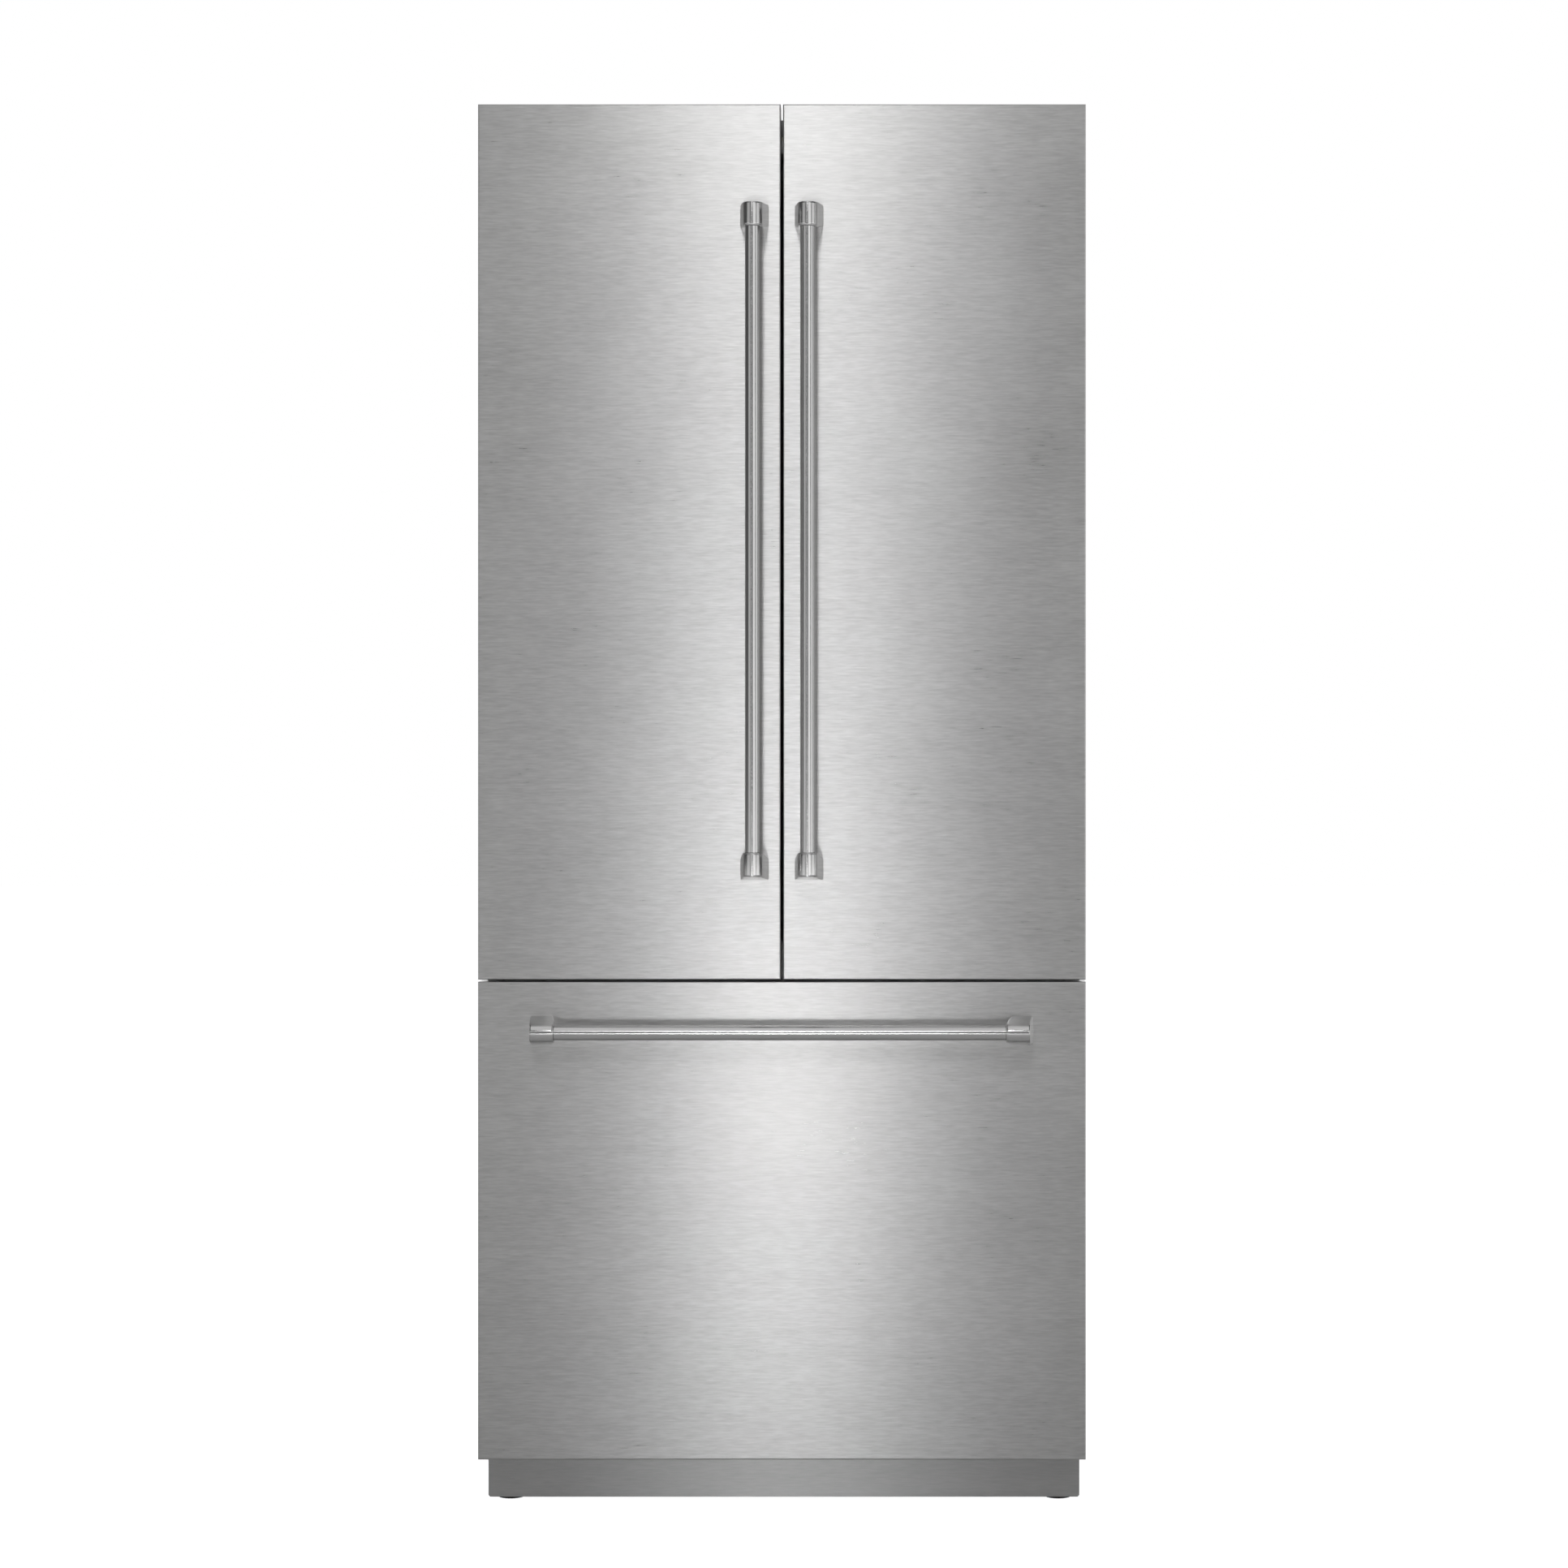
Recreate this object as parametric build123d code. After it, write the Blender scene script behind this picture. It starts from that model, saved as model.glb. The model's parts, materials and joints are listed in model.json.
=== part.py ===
from build123d import *

import math
import os

os.makedirs("parts", exist_ok=True)

# All sizes in millimetres. +X is the user's right, the doors face -Y, +Z is up.
# The origin is on the floor, in the middle of the overall width and depth.

# Overall size
overall_height = 2100.0
overall_width = 908.0
body_depth = 635.0          # door face to the back, without handles
handle_projection = 75.0    # handle front to door face
face_y = handle_projection / 2 - body_depth / 2
back_y = face_y + body_depth
half_width = overall_width / 2

# Door and drawer fronts
front_gap = 3.2             # between the doors and the drawer
door_gap = 3.5              # between the two doors
drawer_bottom = 75.0
drawer_height = 714.0
drawer_top = drawer_bottom + drawer_height
door_bottom = drawer_top + front_gap
skin = 1.2                  # steel sheet of the fronts
bend_radius = 2.0           # outside of the bends around a front
front_thickness = 50.0      # face to the back of the hard body
lip_depth = 7.0             # folded lip along the top and bottom of a door
top_recess = 13.0           # height of the hinge space over a door's end cap
bottom_recess = 10.0

# Seals
seal_inset = 18.0
seal_width = 14.0
seal_depth = 12.0
seal_clearance = 0.3

# Cabinet
cabinet_front_y = face_y + front_thickness + seal_depth + seal_clearance
cabinet_half_width = half_width - 7.0
cabinet_top = overall_height - 12.0
shell_sheet = 1.5
shell_skirt_bottom = 30.0
skirt_front_y = cabinet_front_y + 12.7
base_top = 90.0
base_sheet = 2.0
flange_width = 25.0

# Compartments (inside faces)
liner_wall = 2.0
side_wall = 44.0
liner_half_width = cabinet_half_width - side_wall
fridge_floor = door_bottom + 54.8
fridge_ceiling = cabinet_top - 50.0
fridge_back_y = back_y - 57.0
freezer_floor = drawer_bottom + 62.0
freezer_ceiling = drawer_top - 56.0
freezer_back_y = back_y - 80.0
step_height = 330.0         # freezer floor over the machine space
step_y = back_y - 260.0
machine_front_y = step_y + 35.0
machine_top = step_height - 35.0

# Door backs
dike_outer = liner_half_width - 5.0
dike_inner = 48.0
dike_width = 22.0
dike_depth = 45.0
dike_margin = 6.0           # dike to compartment floor and ceiling
bin_depth = 106.0
bin_height = 110.0
bin_wall = 3.0
bin_levels = (880.0, 1240.0, 1610.0)

# Door hinges
hinge_inset = 12.0
hinge_depth = 25.0
hinge_x = half_width - hinge_inset
hinge_y = face_y + hinge_depth
hinge_sheet = 4.0
hinge_half_width = 9.0
hinge_nose = 11.0
pin_radius = 5.0
pin_length = 18.0
turning_clearance = 0.06

# Folding mullion on the left door
mullion_thickness = 18.0
mullion_reach = 67.0
mullion_x = -37.0
mullion_y = cabinet_front_y + mullion_thickness / 2
mullion_end_gap = 6.0
mullion_pin_radius = 3.0
mullion_pin_length = 12.0
mullion_bracket_sheet = 3.0
axial_clearance = 0.3

# Handles
bar_radius = 11.0
collar_radius = 14.5
bar_y = face_y - handle_projection + collar_radius
post_width = 43.0
post_length = 33.0
post_overhang = 8.0
post_mitre = 7.3
socket_depth = 12.0
socket_clearance = 0.05
door_handle_x = 40.8
door_handle_bottom = 941.0
door_handle_length = 1008.5
drawer_handle_z = drawer_top - 72.0
drawer_handle_length = 751.5

# Shelves and crispers
shelf_front_y = face_y + front_thickness + bin_depth + 12.0
shelf_back_y = fridge_back_y - 20.0
shelf_levels = (1380.0, 1700.0)
shelf_middle_gap = 4.0
shelf_side_gap = 4.0
shelf_rim = 14.0
shelf_rim_height = 14.0
glass_thickness = 4.0
arm_sheet = 3.0
arm_height = 32.0
ladder_depth = 13.0
ladder_width = 14.0
ladder_offsets = (95.0, 378.0)
cover_level = 1075.0
crisper_height = 210.0
crisper_wall = 3.0

# Freezer fittings
slide_height = 36.0
slide_bottom = 410.0
slide_front_y = cabinet_front_y + 8.0
slide_back_y = freezer_back_y - 65.0
slide_outer_width = 12.0
slide_sheet = 2.0
slide_gap = 0.5
air_panel_y = freezer_back_y - 57.0
basket_half_width = liner_half_width - 35.0
tray_half_width = liner_half_width - 33.0
tray_bottom = 560.0
tray_top = 680.0
ledge_height = 9.0

# Feet and rollers
foot_x = 416.0
foot_y = face_y + 100.0
foot_radius = 20.0
foot_height = 14.0
stud_radius = 5.0
roller_radius = 25.0
roller_width = 22.0
roller_x = 400.0
roller_y = back_y - 70.0
axle_radius = 4.0

# Plinth
plinth_y = face_y + 70.0
plinth_bottom = 5.0
plinth_sheet = 2.0
plinth_half_width = cabinet_half_width + 0.5
plinth_corner = 2.5
plinth_flange = 24.0

# Machine space behind the freezer step
cover_top = machine_top - 45.0
compressor_x = -250.0
compressor_y = back_y - 115.0
compressor_radius = 82.0
compressor_height = 150.0
compressor_rounding = 34.0
compressor_plate_half = (100.0, 60.0)
compressor_foot_offset = (88.0, 50.0)
compressor_foot_radius = 9.0
compressor_foot_height = 12.0
compressor_plate_sheet = 6.0
condenser_x = (150.0, 300.0)
condenser_y = (back_y - 195.0, back_y - 45.0)
condenser_pitch = 10.0
condenser_tube_radius = 4.0
fin_sheet = 1.5
shroud_x = 120.0
shroud_sheet = 3.0
fan_y = back_y - 120.0
fan_z = base_top + 92.0
fan_opening = 68.0
fan_radius = 62.0
fan_hub_radius = 18.0
fan_depth = 20.0
fan_offset = 9.5            # wheel in front of the shroud's middle
fan_blades = 5
shaft_radius = 3.0
motor_radius = 20.0
motor_length = 20.0
motor_offset = 14.0
motor_arm_half_width = 6.0
motor_arm_x = (139.5, 142.5)
pan_x = (320.0, 432.0)
pan_height = 36.0
pan_wall = 2.0
cover_slot_pitch = 26.0
cover_slot_count = 26
cover_slot_half_width = 4.0

# Air panels and evaporator
duct_half_width = 75.0
duct_depth = 18.0
duct_rounding = 10.0
duct_slot_levels = (1250.0, 1550.0, 1850.0)
duct_slot_half_width = 45.0
duct_slot_height = 6.0
duct_slot_pitch = 16.0
air_panel_sheet = 4.0
outlet_radius = 50.0
outlet_hub_radius = 14.0
outlet_z = freezer_ceiling - 90.0
outlet_spoke_half_height = 3.0
outlet_overlap = 2.0
return_slot_count = 12
return_slot_pitch = 60.0
return_slot_half_width = 18.0
return_slot_height = 8.0
evaporator_half_width = 300.0
evaporator_pitch = 20.0
evaporator_tube_radius = 5.0
evaporator_height = 190.0
freezer_fan_radius = 46.0
freezer_fan_hub_radius = 12.0
freezer_fan_depth = 16.0

# Controls and light under the ceiling
panel_front_y = cabinet_front_y + 92.7
panel_half_width = 130.0
panel_depth = 65.0
panel_height = 28.0
button_spacing = 60.0
button_radius = 9.0
button_well_depth = 6.0
button_well_clearance = 0.2
button_depth = 5.5
button_proud = 2.0
light_half_width = 110.0
light_depth = 90.0
light_height = 10.0

# Smaller fittings
ladder_slot_count = 16
ladder_slot_pitch = 52.0
ladder_slot_half_width = 2.5
ladder_slot_height = 18.0
crisper_pull_half_width = 70.0
glass_lap = 5.0
basket_hole_columns = 9
basket_hole_rows = 3
basket_hole_half_width = 26.0
basket_hole_height = 44.0
basket_hole_pitch = 72.0
tray_wall = 3.0
tray_rim = 4.0


def block(x_range, y_range, z_range):
    """A box between two limits on each axis."""
    lows = (x_range[0], y_range[0], z_range[0])
    sizes = (x_range[1] - x_range[0], y_range[1] - y_range[0], z_range[1] - z_range[0])
    return Pos(*lows) * Box(*sizes, align=(Align.MIN, Align.MIN, Align.MIN))


def mirrored(shape):
    """The shape reflected to the other side of the middle plane."""
    return mirror(shape, about=Plane.YZ)


def pair(shape):
    """The shape and its reflection together."""
    return shape + mirrored(shape)


def open_tray(x_range, y_range, z_range, wall):
    """A box with an open top and walls of one thickness."""
    inner_x = (x_range[0] + wall, x_range[1] - wall)
    inner_y = (y_range[0] + wall, y_range[1] - wall)
    hollow = block(inner_x, inner_y, (z_range[0] + wall, z_range[1] + 1))
    return block(x_range, y_range, z_range) - hollow


def ring(x_range, y_range, z_range, width):
    """A flat rectangular frame lying in the XZ plane."""
    inner_x = (x_range[0] + width, x_range[1] - width)
    inner_z = (z_range[0] + width, z_range[1] - width)
    opening = block(inner_x, (y_range[0] - 1, y_range[1] + 1), inner_z)
    return block(x_range, y_range, z_range) - opening


def upright(x, y, z, radius, length):
    """A vertical cylinder that starts at height z."""
    return Pos(x, y, z) * Cylinder(radius, length, align=(Align.CENTER, Align.CENTER, Align.MIN))


def fin_pack(x_range, y_range, z_range, pitch, tube_radius):
    """Fins square to X, held by three tubes that run along X."""
    middle_y = (y_range[0] + y_range[1]) / 2
    tube_heights = [z_range[0] + (z_range[1] - z_range[0]) * share for share in (0.2, 0.5, 0.8)]
    length = x_range[1] - x_range[0]
    pack = Part()
    for height in tube_heights:
        middle = Pos(x_range[0] + length / 2, middle_y, height)
        pack += middle * Rot(0, 90, 0) * Cylinder(tube_radius, length)
    for index in range(int((length - fin_sheet) / pitch) + 1):
        start = x_range[0] + index * pitch
        pack += block((start, start + fin_sheet), y_range, z_range)
    return pack


def fan_wheel(radius, hub_radius, depth, blade_count, bore_radius):
    """A fan wheel about the Z axis, centred on the origin."""
    wheel = Cylinder(hub_radius, depth)
    root = 2
    blade_length = radius - hub_radius + root
    blade_middle = Pos(hub_radius - root + blade_length / 2, 0, 0)
    blade = blade_middle * Rot(35, 0, 0) * Box(blade_length, depth * 1.4, 2)
    for index in range(blade_count):
        wheel += Rot(0, 0, index * 360 / blade_count) * blade
    wheel = wheel & Cylinder(radius, depth)
    return wheel - Cylinder(bore_radius, depth + 2)


# Cabinet


def cabinet_shell():
    """Painted steel wrap: two sides and a top, with a flange turned in at the front."""
    outer_x = (-cabinet_half_width, cabinet_half_width)
    outer = block(outer_x, (cabinet_front_y, back_y), (base_top - base_sheet, cabinet_top))
    inner_half = cabinet_half_width - shell_sheet
    hollow_z = (0, cabinet_top - shell_sheet)
    outer -= block((-inner_half, inner_half), (cabinet_front_y - 1, back_y + 1), hollow_z)
    flange_x = (cabinet_half_width - flange_width, inner_half)
    flange_y = (cabinet_front_y, cabinet_front_y + shell_sheet)
    outer += pair(block(flange_x, flange_y, (base_top, cabinet_top - shell_sheet)))
    top_flange_z = (cabinet_top - flange_width, cabinet_top - shell_sheet)
    outer += block((-flange_x[0], flange_x[0]), flange_y, top_flange_z)
    skirt_z = (shell_skirt_bottom, base_top - base_sheet)
    skirt = block((inner_half, cabinet_half_width), (skirt_front_y, back_y), skirt_z)
    return outer + pair(skirt)


def back_panel():
    """Rear sheet above the machine space, let in between the cabinet sides."""
    inner_half = cabinet_half_width - shell_sheet
    sheet_z = (cover_top, cabinet_top - shell_sheet)
    return block((-inner_half, inner_half), (back_y - shell_sheet, back_y), sheet_z)


def base_pan():
    """Steel floor of the cabinet, with a turned-up front and holes for the feet."""
    inner_half = cabinet_half_width - shell_sheet
    pan_y = (cabinet_front_y, back_y - shell_sheet)
    pan = block((-inner_half, inner_half), pan_y, (base_top - base_sheet, base_top))
    turn_up_x = cabinet_half_width - flange_width
    turn_up_z = (base_top, freezer_floor - liner_wall - flange_lap())
    turn_up_y = (cabinet_front_y, cabinet_front_y + shell_sheet)
    pan += block((-turn_up_x, turn_up_x), turn_up_y, turn_up_z)
    hole_bottom = base_top - base_sheet - 1
    hole = upright(foot_x, foot_y, hole_bottom, stud_radius + turning_clearance, base_sheet + 2)
    return pan - pair(hole)


def flange_lap():
    """Width of a liner's front flange beyond the liner's outer wall."""
    return cabinet_half_width - flange_width - liner_half_width - liner_wall


def liner_flange(z_range):
    """Front flange around one compartment, as a frame."""
    lap = flange_lap()
    outer_half = liner_half_width + liner_wall + lap
    frame_y = (cabinet_front_y, cabinet_front_y + shell_sheet)
    outer_z = (z_range[0] - liner_wall - lap, z_range[1] + liner_wall + lap)
    flange = block((-outer_half, outer_half), frame_y, outer_z)
    opening_x = (-liner_half_width, liner_half_width)
    return flange - block(opening_x, (frame_y[0] - 1, frame_y[1] + 1), z_range)


def fridge_block(grow):
    """The fresh-food compartment as a block, grown by the liner wall or not."""
    return block(
        (-liner_half_width - grow, liner_half_width + grow),
        (cabinet_front_y, fridge_back_y + grow),
        (fridge_floor - grow, fridge_ceiling + grow),
    )


def freezer_block(grow):
    """The freezer compartment with its stepped floor, grown by the liner wall or not."""
    front, step, back = cabinet_front_y, step_y + grow, freezer_back_y + grow
    low, high, ceiling = freezer_floor - grow, step_height - grow, freezer_ceiling + grow
    floor_line = ((front, low), (step, low), (step, high), (back, high))
    outline = Polygon(*floor_line, (back, ceiling), (front, ceiling), align=None)
    return extrude(Plane.YZ * outline, amount=liner_half_width + grow, both=True)


def fridge_liner():
    """Moulded liner of the fresh-food space, with ledges for the crisper cover."""
    liner = fridge_block(liner_wall) - fridge_block(0)
    liner += liner_flange((fridge_floor, fridge_ceiling))
    ledge_x = (liner_half_width - 14, liner_half_width)
    ledge = block(ledge_x, (shelf_front_y + 4, fridge_back_y), (cover_level - 12, cover_level))
    return liner + pair(ledge)


def freezer_liner():
    """Moulded liner of the freezer, with ledges for the upper tray."""
    liner = freezer_block(liner_wall) - freezer_block(0)
    liner += liner_flange((freezer_floor, freezer_ceiling))
    ledge_top = tray_top - tray_rim - axial_clearance
    ledge_x = (tray_half_width + 4, liner_half_width)
    ledge = block(ledge_x, (slide_front_y, air_panel_y), (ledge_top - ledge_height, ledge_top))
    return liner + pair(ledge)


def machine_space():
    """The space behind the freezer step, as a block."""
    space_x = (-cabinet_half_width, cabinet_half_width)
    return block(space_x, (machine_front_y, back_y), (0, machine_top))


def foam_insulation():
    """Foam between the shell and the two liners."""
    inner_half = cabinet_half_width - shell_sheet
    foam_y = (cabinet_front_y + shell_sheet, back_y - shell_sheet)
    foam = block((-inner_half, inner_half), foam_y, (base_top, cabinet_top - shell_sheet))
    foam -= fridge_block(liner_wall)
    foam -= freezer_block(liner_wall)
    foam -= machine_space()
    foam -= pair(upright(foot_x, foot_y, base_top, stud_radius + 2, 14))
    return foam - rail_block()


def rail_block():
    """The space the divider rail fills behind the front plane."""
    low = freezer_ceiling + liner_wall + flange_lap()
    high = fridge_floor - liner_wall - flange_lap()
    rail_half = cabinet_half_width - flange_width
    return block((-rail_half, rail_half), (cabinet_front_y, cabinet_front_y + 20), (low, high))


def divider_rail():
    """Steel channel across the cabinet between the doors and the drawer."""
    rail = rail_block()
    box = rail.bounding_box()
    hollow_x = (box.min.X - 1, box.max.X + 1)
    hollow_y = (cabinet_front_y + base_sheet, box.max.Y + 1)
    hollow_z = (box.min.Z + base_sheet, box.max.Z - base_sheet)
    return rail - block(hollow_x, hollow_y, hollow_z)


def toe_kick():
    """Steel plinth plate under the drawer, with a flange up against the base pan."""
    plate_z = (plinth_bottom, base_top - base_sheet)
    plate_x = (-plinth_half_width, plinth_half_width)
    plate = block(plate_x, (plinth_y, plinth_y + plinth_sheet), plate_z)
    corners = plate.edges().filter_by(Axis.Y).group_by(Axis.Z)[0]
    plate = chamfer(corners, plinth_corner)
    flange_z = (base_top - base_sheet - plinth_sheet, base_top - base_sheet)
    flange_y = (plinth_y + plinth_sheet, plinth_y + plinth_flange)
    inner_half = cabinet_half_width - shell_sheet - 2
    return plate + block((-inner_half, inner_half), flange_y, flange_z)


# Feet and rollers


def front_foot(x):
    """Levelling foot: a ribbed pad on a stud that turns in the base pan."""
    foot = upright(x, foot_y, 0, foot_radius, foot_height)
    foot = fillet(foot.edges().group_by(Axis.Z)[-1], 3)
    return foot + upright(x, foot_y, foot_height, stud_radius, base_top + 12 - foot_height)


def rear_roller(x):
    """Rear roller with a bore for its axle."""
    wheel = Cylinder(roller_radius, roller_width)
    wheel -= Cylinder(axle_radius + turning_clearance, roller_width + 2)
    circles = wheel.edges().filter_by(GeomType.CIRCLE).sort_by(SortBy.RADIUS)
    wheel = chamfer(circles[-2:], 1.5)
    return Pos(x, roller_y, roller_radius) * Rot(0, 90, 0) * wheel


def roller_brackets():
    """Forked brackets under the base pan, each with its axle."""
    half = roller_width / 2 + 1
    fork_y = (roller_y - 16, roller_y + 16)
    fork_z = (roller_radius - 10, base_top - base_sheet)
    fork = pair(block((half, half + 3), fork_y, fork_z))
    fork += block((-half - 3, half + 3), fork_y, (fork_z[1] - 3, fork_z[1]))
    axle_middle = Pos(0, roller_y, roller_radius)
    fork += axle_middle * Rot(0, 90, 0) * Cylinder(axle_radius, 2 * half + 10)
    return Pos(roller_x, 0, 0) * fork + Pos(-roller_x, 0, 0) * fork


# Machine space


def compressor():
    """Welded compressor can on a foot plate."""
    plate_bottom = base_top + compressor_foot_height
    can_bottom = plate_bottom + compressor_plate_sheet - 2
    can = upright(compressor_x, compressor_y, can_bottom, compressor_radius, compressor_height)
    can = fillet(can.edges(), compressor_rounding)
    half_x, half_y = compressor_plate_half
    plate_z = (plate_bottom, plate_bottom + compressor_plate_sheet)
    plate_x = (compressor_x - half_x, compressor_x + half_x)
    plate_y = (compressor_y - half_y, compressor_y + half_y)
    body = can + block(plate_x, plate_y, plate_z)
    offset_x, offset_y = compressor_foot_offset
    for x in (compressor_x - offset_x, compressor_x + offset_x):
        for y in (compressor_y - offset_y, compressor_y + offset_y):
            body += upright(x, y, base_top, compressor_foot_radius, compressor_foot_height)
    return body


def condenser():
    """Finned condenser block beside its fan, on a base plate."""
    fins_z = (base_top + 4, machine_top - 20)
    fins = fin_pack(condenser_x, condenser_y, fins_z, condenser_pitch, condenser_tube_radius)
    return fins + block(condenser_x, condenser_y, (base_top, base_top + 5))


def fan_shroud():
    """Plate with a round opening and the motor arm of the condenser fan."""
    plate_x = (shroud_x, shroud_x + shroud_sheet)
    shroud = block(plate_x, (back_y - 200, back_y - 40), (base_top, machine_top - 16))
    centre = Pos(shroud_x + shroud_sheet / 2, fan_y, fan_z) * Rot(0, 90, 0)
    shroud -= centre * Cylinder(fan_opening, 10)
    shroud += centre * Pos(0, 0, motor_offset) * Cylinder(motor_radius, motor_length)
    shroud += centre * Cylinder(shaft_radius, 40)
    arm_y = (fan_y - motor_arm_half_width, fan_y + motor_arm_half_width)
    shroud += block(motor_arm_x, arm_y, (base_top, base_top + 80))
    return shroud + block((shroud_x + 2, motor_arm_x[1]), arm_y, (base_top, base_top + 3))


def condenser_fan():
    """Fan wheel that draws air through the condenser."""
    bore = shaft_radius + turning_clearance
    wheel = fan_wheel(fan_radius, fan_hub_radius, fan_depth, fan_blades, bore)
    wheel_x = shroud_x + shroud_sheet / 2 - fan_offset
    return Pos(wheel_x, fan_y, fan_z) * Rot(0, 90, 0) * wheel


def drain_pan():
    """Open pan that catches defrost water."""
    return open_tray(pan_x, condenser_y, (base_top, base_top + pan_height), pan_wall)


def rear_cover():
    """Slotted cover over the machine space."""
    inner_half = cabinet_half_width - shell_sheet
    cover = block((-inner_half, inner_half), (back_y - shell_sheet, back_y), (base_top, cover_top))
    first = -cover_slot_pitch * (cover_slot_count - 1) / 2
    slot_z = (base_top + 40, cover_top - 40)
    for index in range(cover_slot_count):
        x = first + index * cover_slot_pitch
        slot_x = (x - cover_slot_half_width, x + cover_slot_half_width)
        cover -= block(slot_x, (back_y - 3, back_y + 1), slot_z)
    return cover


# Inside the compartments


def fridge_air_panel():
    """Air duct cover on the back wall of the fresh-food space."""
    duct_z = (cover_level + 30, fridge_ceiling - 10)
    duct_y = (fridge_back_y - duct_depth, fridge_back_y)
    duct = block((-duct_half_width, duct_half_width), duct_y, duct_z)
    duct = fillet(duct.edges().filter_by(Axis.Z).group_by(Axis.Y)[0], duct_rounding)
    slot_x = (-duct_slot_half_width, duct_slot_half_width)
    for level in duct_slot_levels:
        for row in range(3):
            z = level + row * duct_slot_pitch
            duct -= block(slot_x, (duct_y[0] - 1, duct_y[1] - 8), (z, z + duct_slot_height))
    return duct


def freezer_air_panel():
    """Cover in front of the evaporator, with a round fan outlet."""
    panel_x = (-liner_half_width, liner_half_width)
    panel_y = (air_panel_y, air_panel_y + air_panel_sheet)
    panel = block(panel_x, panel_y, (step_height, freezer_ceiling))
    outlet = Pos(0, air_panel_y + air_panel_sheet / 2, outlet_z) * Rot(90, 0, 0)
    panel -= outlet * (Cylinder(outlet_radius, 10) - Cylinder(outlet_hub_radius, 12))
    spoke_x = (outlet_hub_radius - outlet_overlap, outlet_radius + outlet_overlap)
    spoke_z = (outlet_z - outlet_spoke_half_height, outlet_z + outlet_spoke_half_height)
    panel += pair(block(spoke_x, panel_y, spoke_z))
    panel += outlet * Pos(0, 0, -12) * Cylinder(shaft_radius, 24)
    slot_y = (panel_y[0] - 1, panel_y[1] + 1)
    slot_z = (step_height + 30, step_height + 30 + return_slot_height)
    first = -return_slot_pitch * (return_slot_count - 1) / 2
    for index in range(return_slot_count):
        x = first + index * return_slot_pitch
        slot_x = (x - return_slot_half_width, x + return_slot_half_width)
        panel -= block(slot_x, slot_y, slot_z)
    return panel


def evaporator():
    """Finned evaporator behind the freezer's air panel."""
    pack_x = (-evaporator_half_width, evaporator_half_width)
    pack_y = (air_panel_y + 12, freezer_back_y - 4)
    pack_z = (step_height + 20, step_height + 20 + evaporator_height)
    return fin_pack(pack_x, pack_y, pack_z, evaporator_pitch, evaporator_tube_radius)


def evaporator_fan():
    """Fan wheel that blows air over the evaporator into the compartments."""
    bore = shaft_radius + turning_clearance
    wheel = fan_wheel(
        freezer_fan_radius, freezer_fan_hub_radius, freezer_fan_depth, fan_blades, bore
    )
    return Pos(0, air_panel_y + 15, outlet_z) * Rot(90, 0, 0) * wheel


def control_panel():
    """Control housing under the ceiling, with three button wells."""
    housing_y = (panel_front_y, panel_front_y + panel_depth)
    housing_z = (fridge_ceiling - panel_height, fridge_ceiling)
    housing = block((-panel_half_width, panel_half_width), housing_y, housing_z)
    housing = fillet(housing.edges().filter_by(Axis.X).group_by(Axis.Z)[0], 6)
    well_radius = button_radius + button_well_clearance
    for x in (-button_spacing, 0, button_spacing):
        mouth = Pos(x, panel_front_y, fridge_ceiling - panel_height / 2) * Rot(90, 0, 0)
        housing -= mouth * Cylinder(well_radius, 2 * button_well_depth)
    return housing


def control_button(x):
    """Round push button that travels back into the control housing."""
    centre_y = panel_front_y - button_proud + button_depth / 2
    button = Cylinder(button_radius, button_depth)
    button = fillet(button.edges().group_by(Axis.Z)[-1], 0.8)
    return Pos(x, centre_y, fridge_ceiling - panel_height / 2) * Rot(90, 0, 0) * button


def ceiling_light():
    """Light lens under the ceiling, behind the control housing."""
    lens_y = (panel_front_y + 95, panel_front_y + 95 + light_depth)
    lens_z = (fridge_ceiling - light_height, fridge_ceiling)
    lens = block((-light_half_width, light_half_width), lens_y, lens_z)
    return chamfer(lens.edges().group_by(Axis.Z)[0], 4)


def half_shelf_range():
    """Left and right limits of a right-hand half shelf."""
    return (shelf_middle_gap / 2, liner_half_width - shelf_side_gap)


def rim(x_range, level):
    """Plastic rim of one shelf around its glass, with a lip under the glass."""
    y_range = (shelf_front_y, shelf_back_y)
    whole = block(x_range, y_range, (level, level + shelf_rim_height))
    inner_x = (x_range[0] + shelf_rim, x_range[1] - shelf_rim)
    inner_y = (y_range[0] + shelf_rim, y_range[1] - shelf_rim)
    glass_low = level + shelf_rim_height - glass_thickness - 1
    seat_x = (inner_x[0] - glass_lap, inner_x[1] + glass_lap)
    seat_y = (inner_y[0] - glass_lap, inner_y[1] + glass_lap)
    whole -= block(inner_x, inner_y, (level - 1, level + shelf_rim_height + 1))
    return whole - block(seat_x, seat_y, (glass_low, level + shelf_rim_height + 1))


def glass_pane(x_range, level):
    """The glass that lies in one rim's seat."""
    glass_low = level + shelf_rim_height - glass_thickness - 1
    inset = shelf_rim - glass_lap
    seat_x = (x_range[0] + inset, x_range[1] - inset)
    seat_y = (shelf_front_y + inset, shelf_back_y - inset)
    return block(seat_x, seat_y, (glass_low, glass_low + glass_thickness))


def shelf_arm(x, level):
    """Tapered cantilever arm under a shelf, from its ladder to near the front."""
    front, back = shelf_front_y + 20, ladder_front_y()
    lower_line = ((front, level - 8), (back, level - arm_height))
    outline = Polygon((front, level), *lower_line, (back, level), align=None)
    return Pos(x, 0, 0) * extrude(Plane.YZ * outline, amount=arm_sheet / 2, both=True)


def ladder_front_y():
    """Front face of the shelf ladders."""
    return fridge_back_y - ladder_depth


def shelf_frames():
    """Four half-width shelf frames on cantilever arms."""
    frames = Part()
    for level in shelf_levels:
        half = rim(half_shelf_range(), level)
        for offset in ladder_offsets:
            half += shelf_arm(offset, level)
        frames += pair(half)
    return frames


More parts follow.
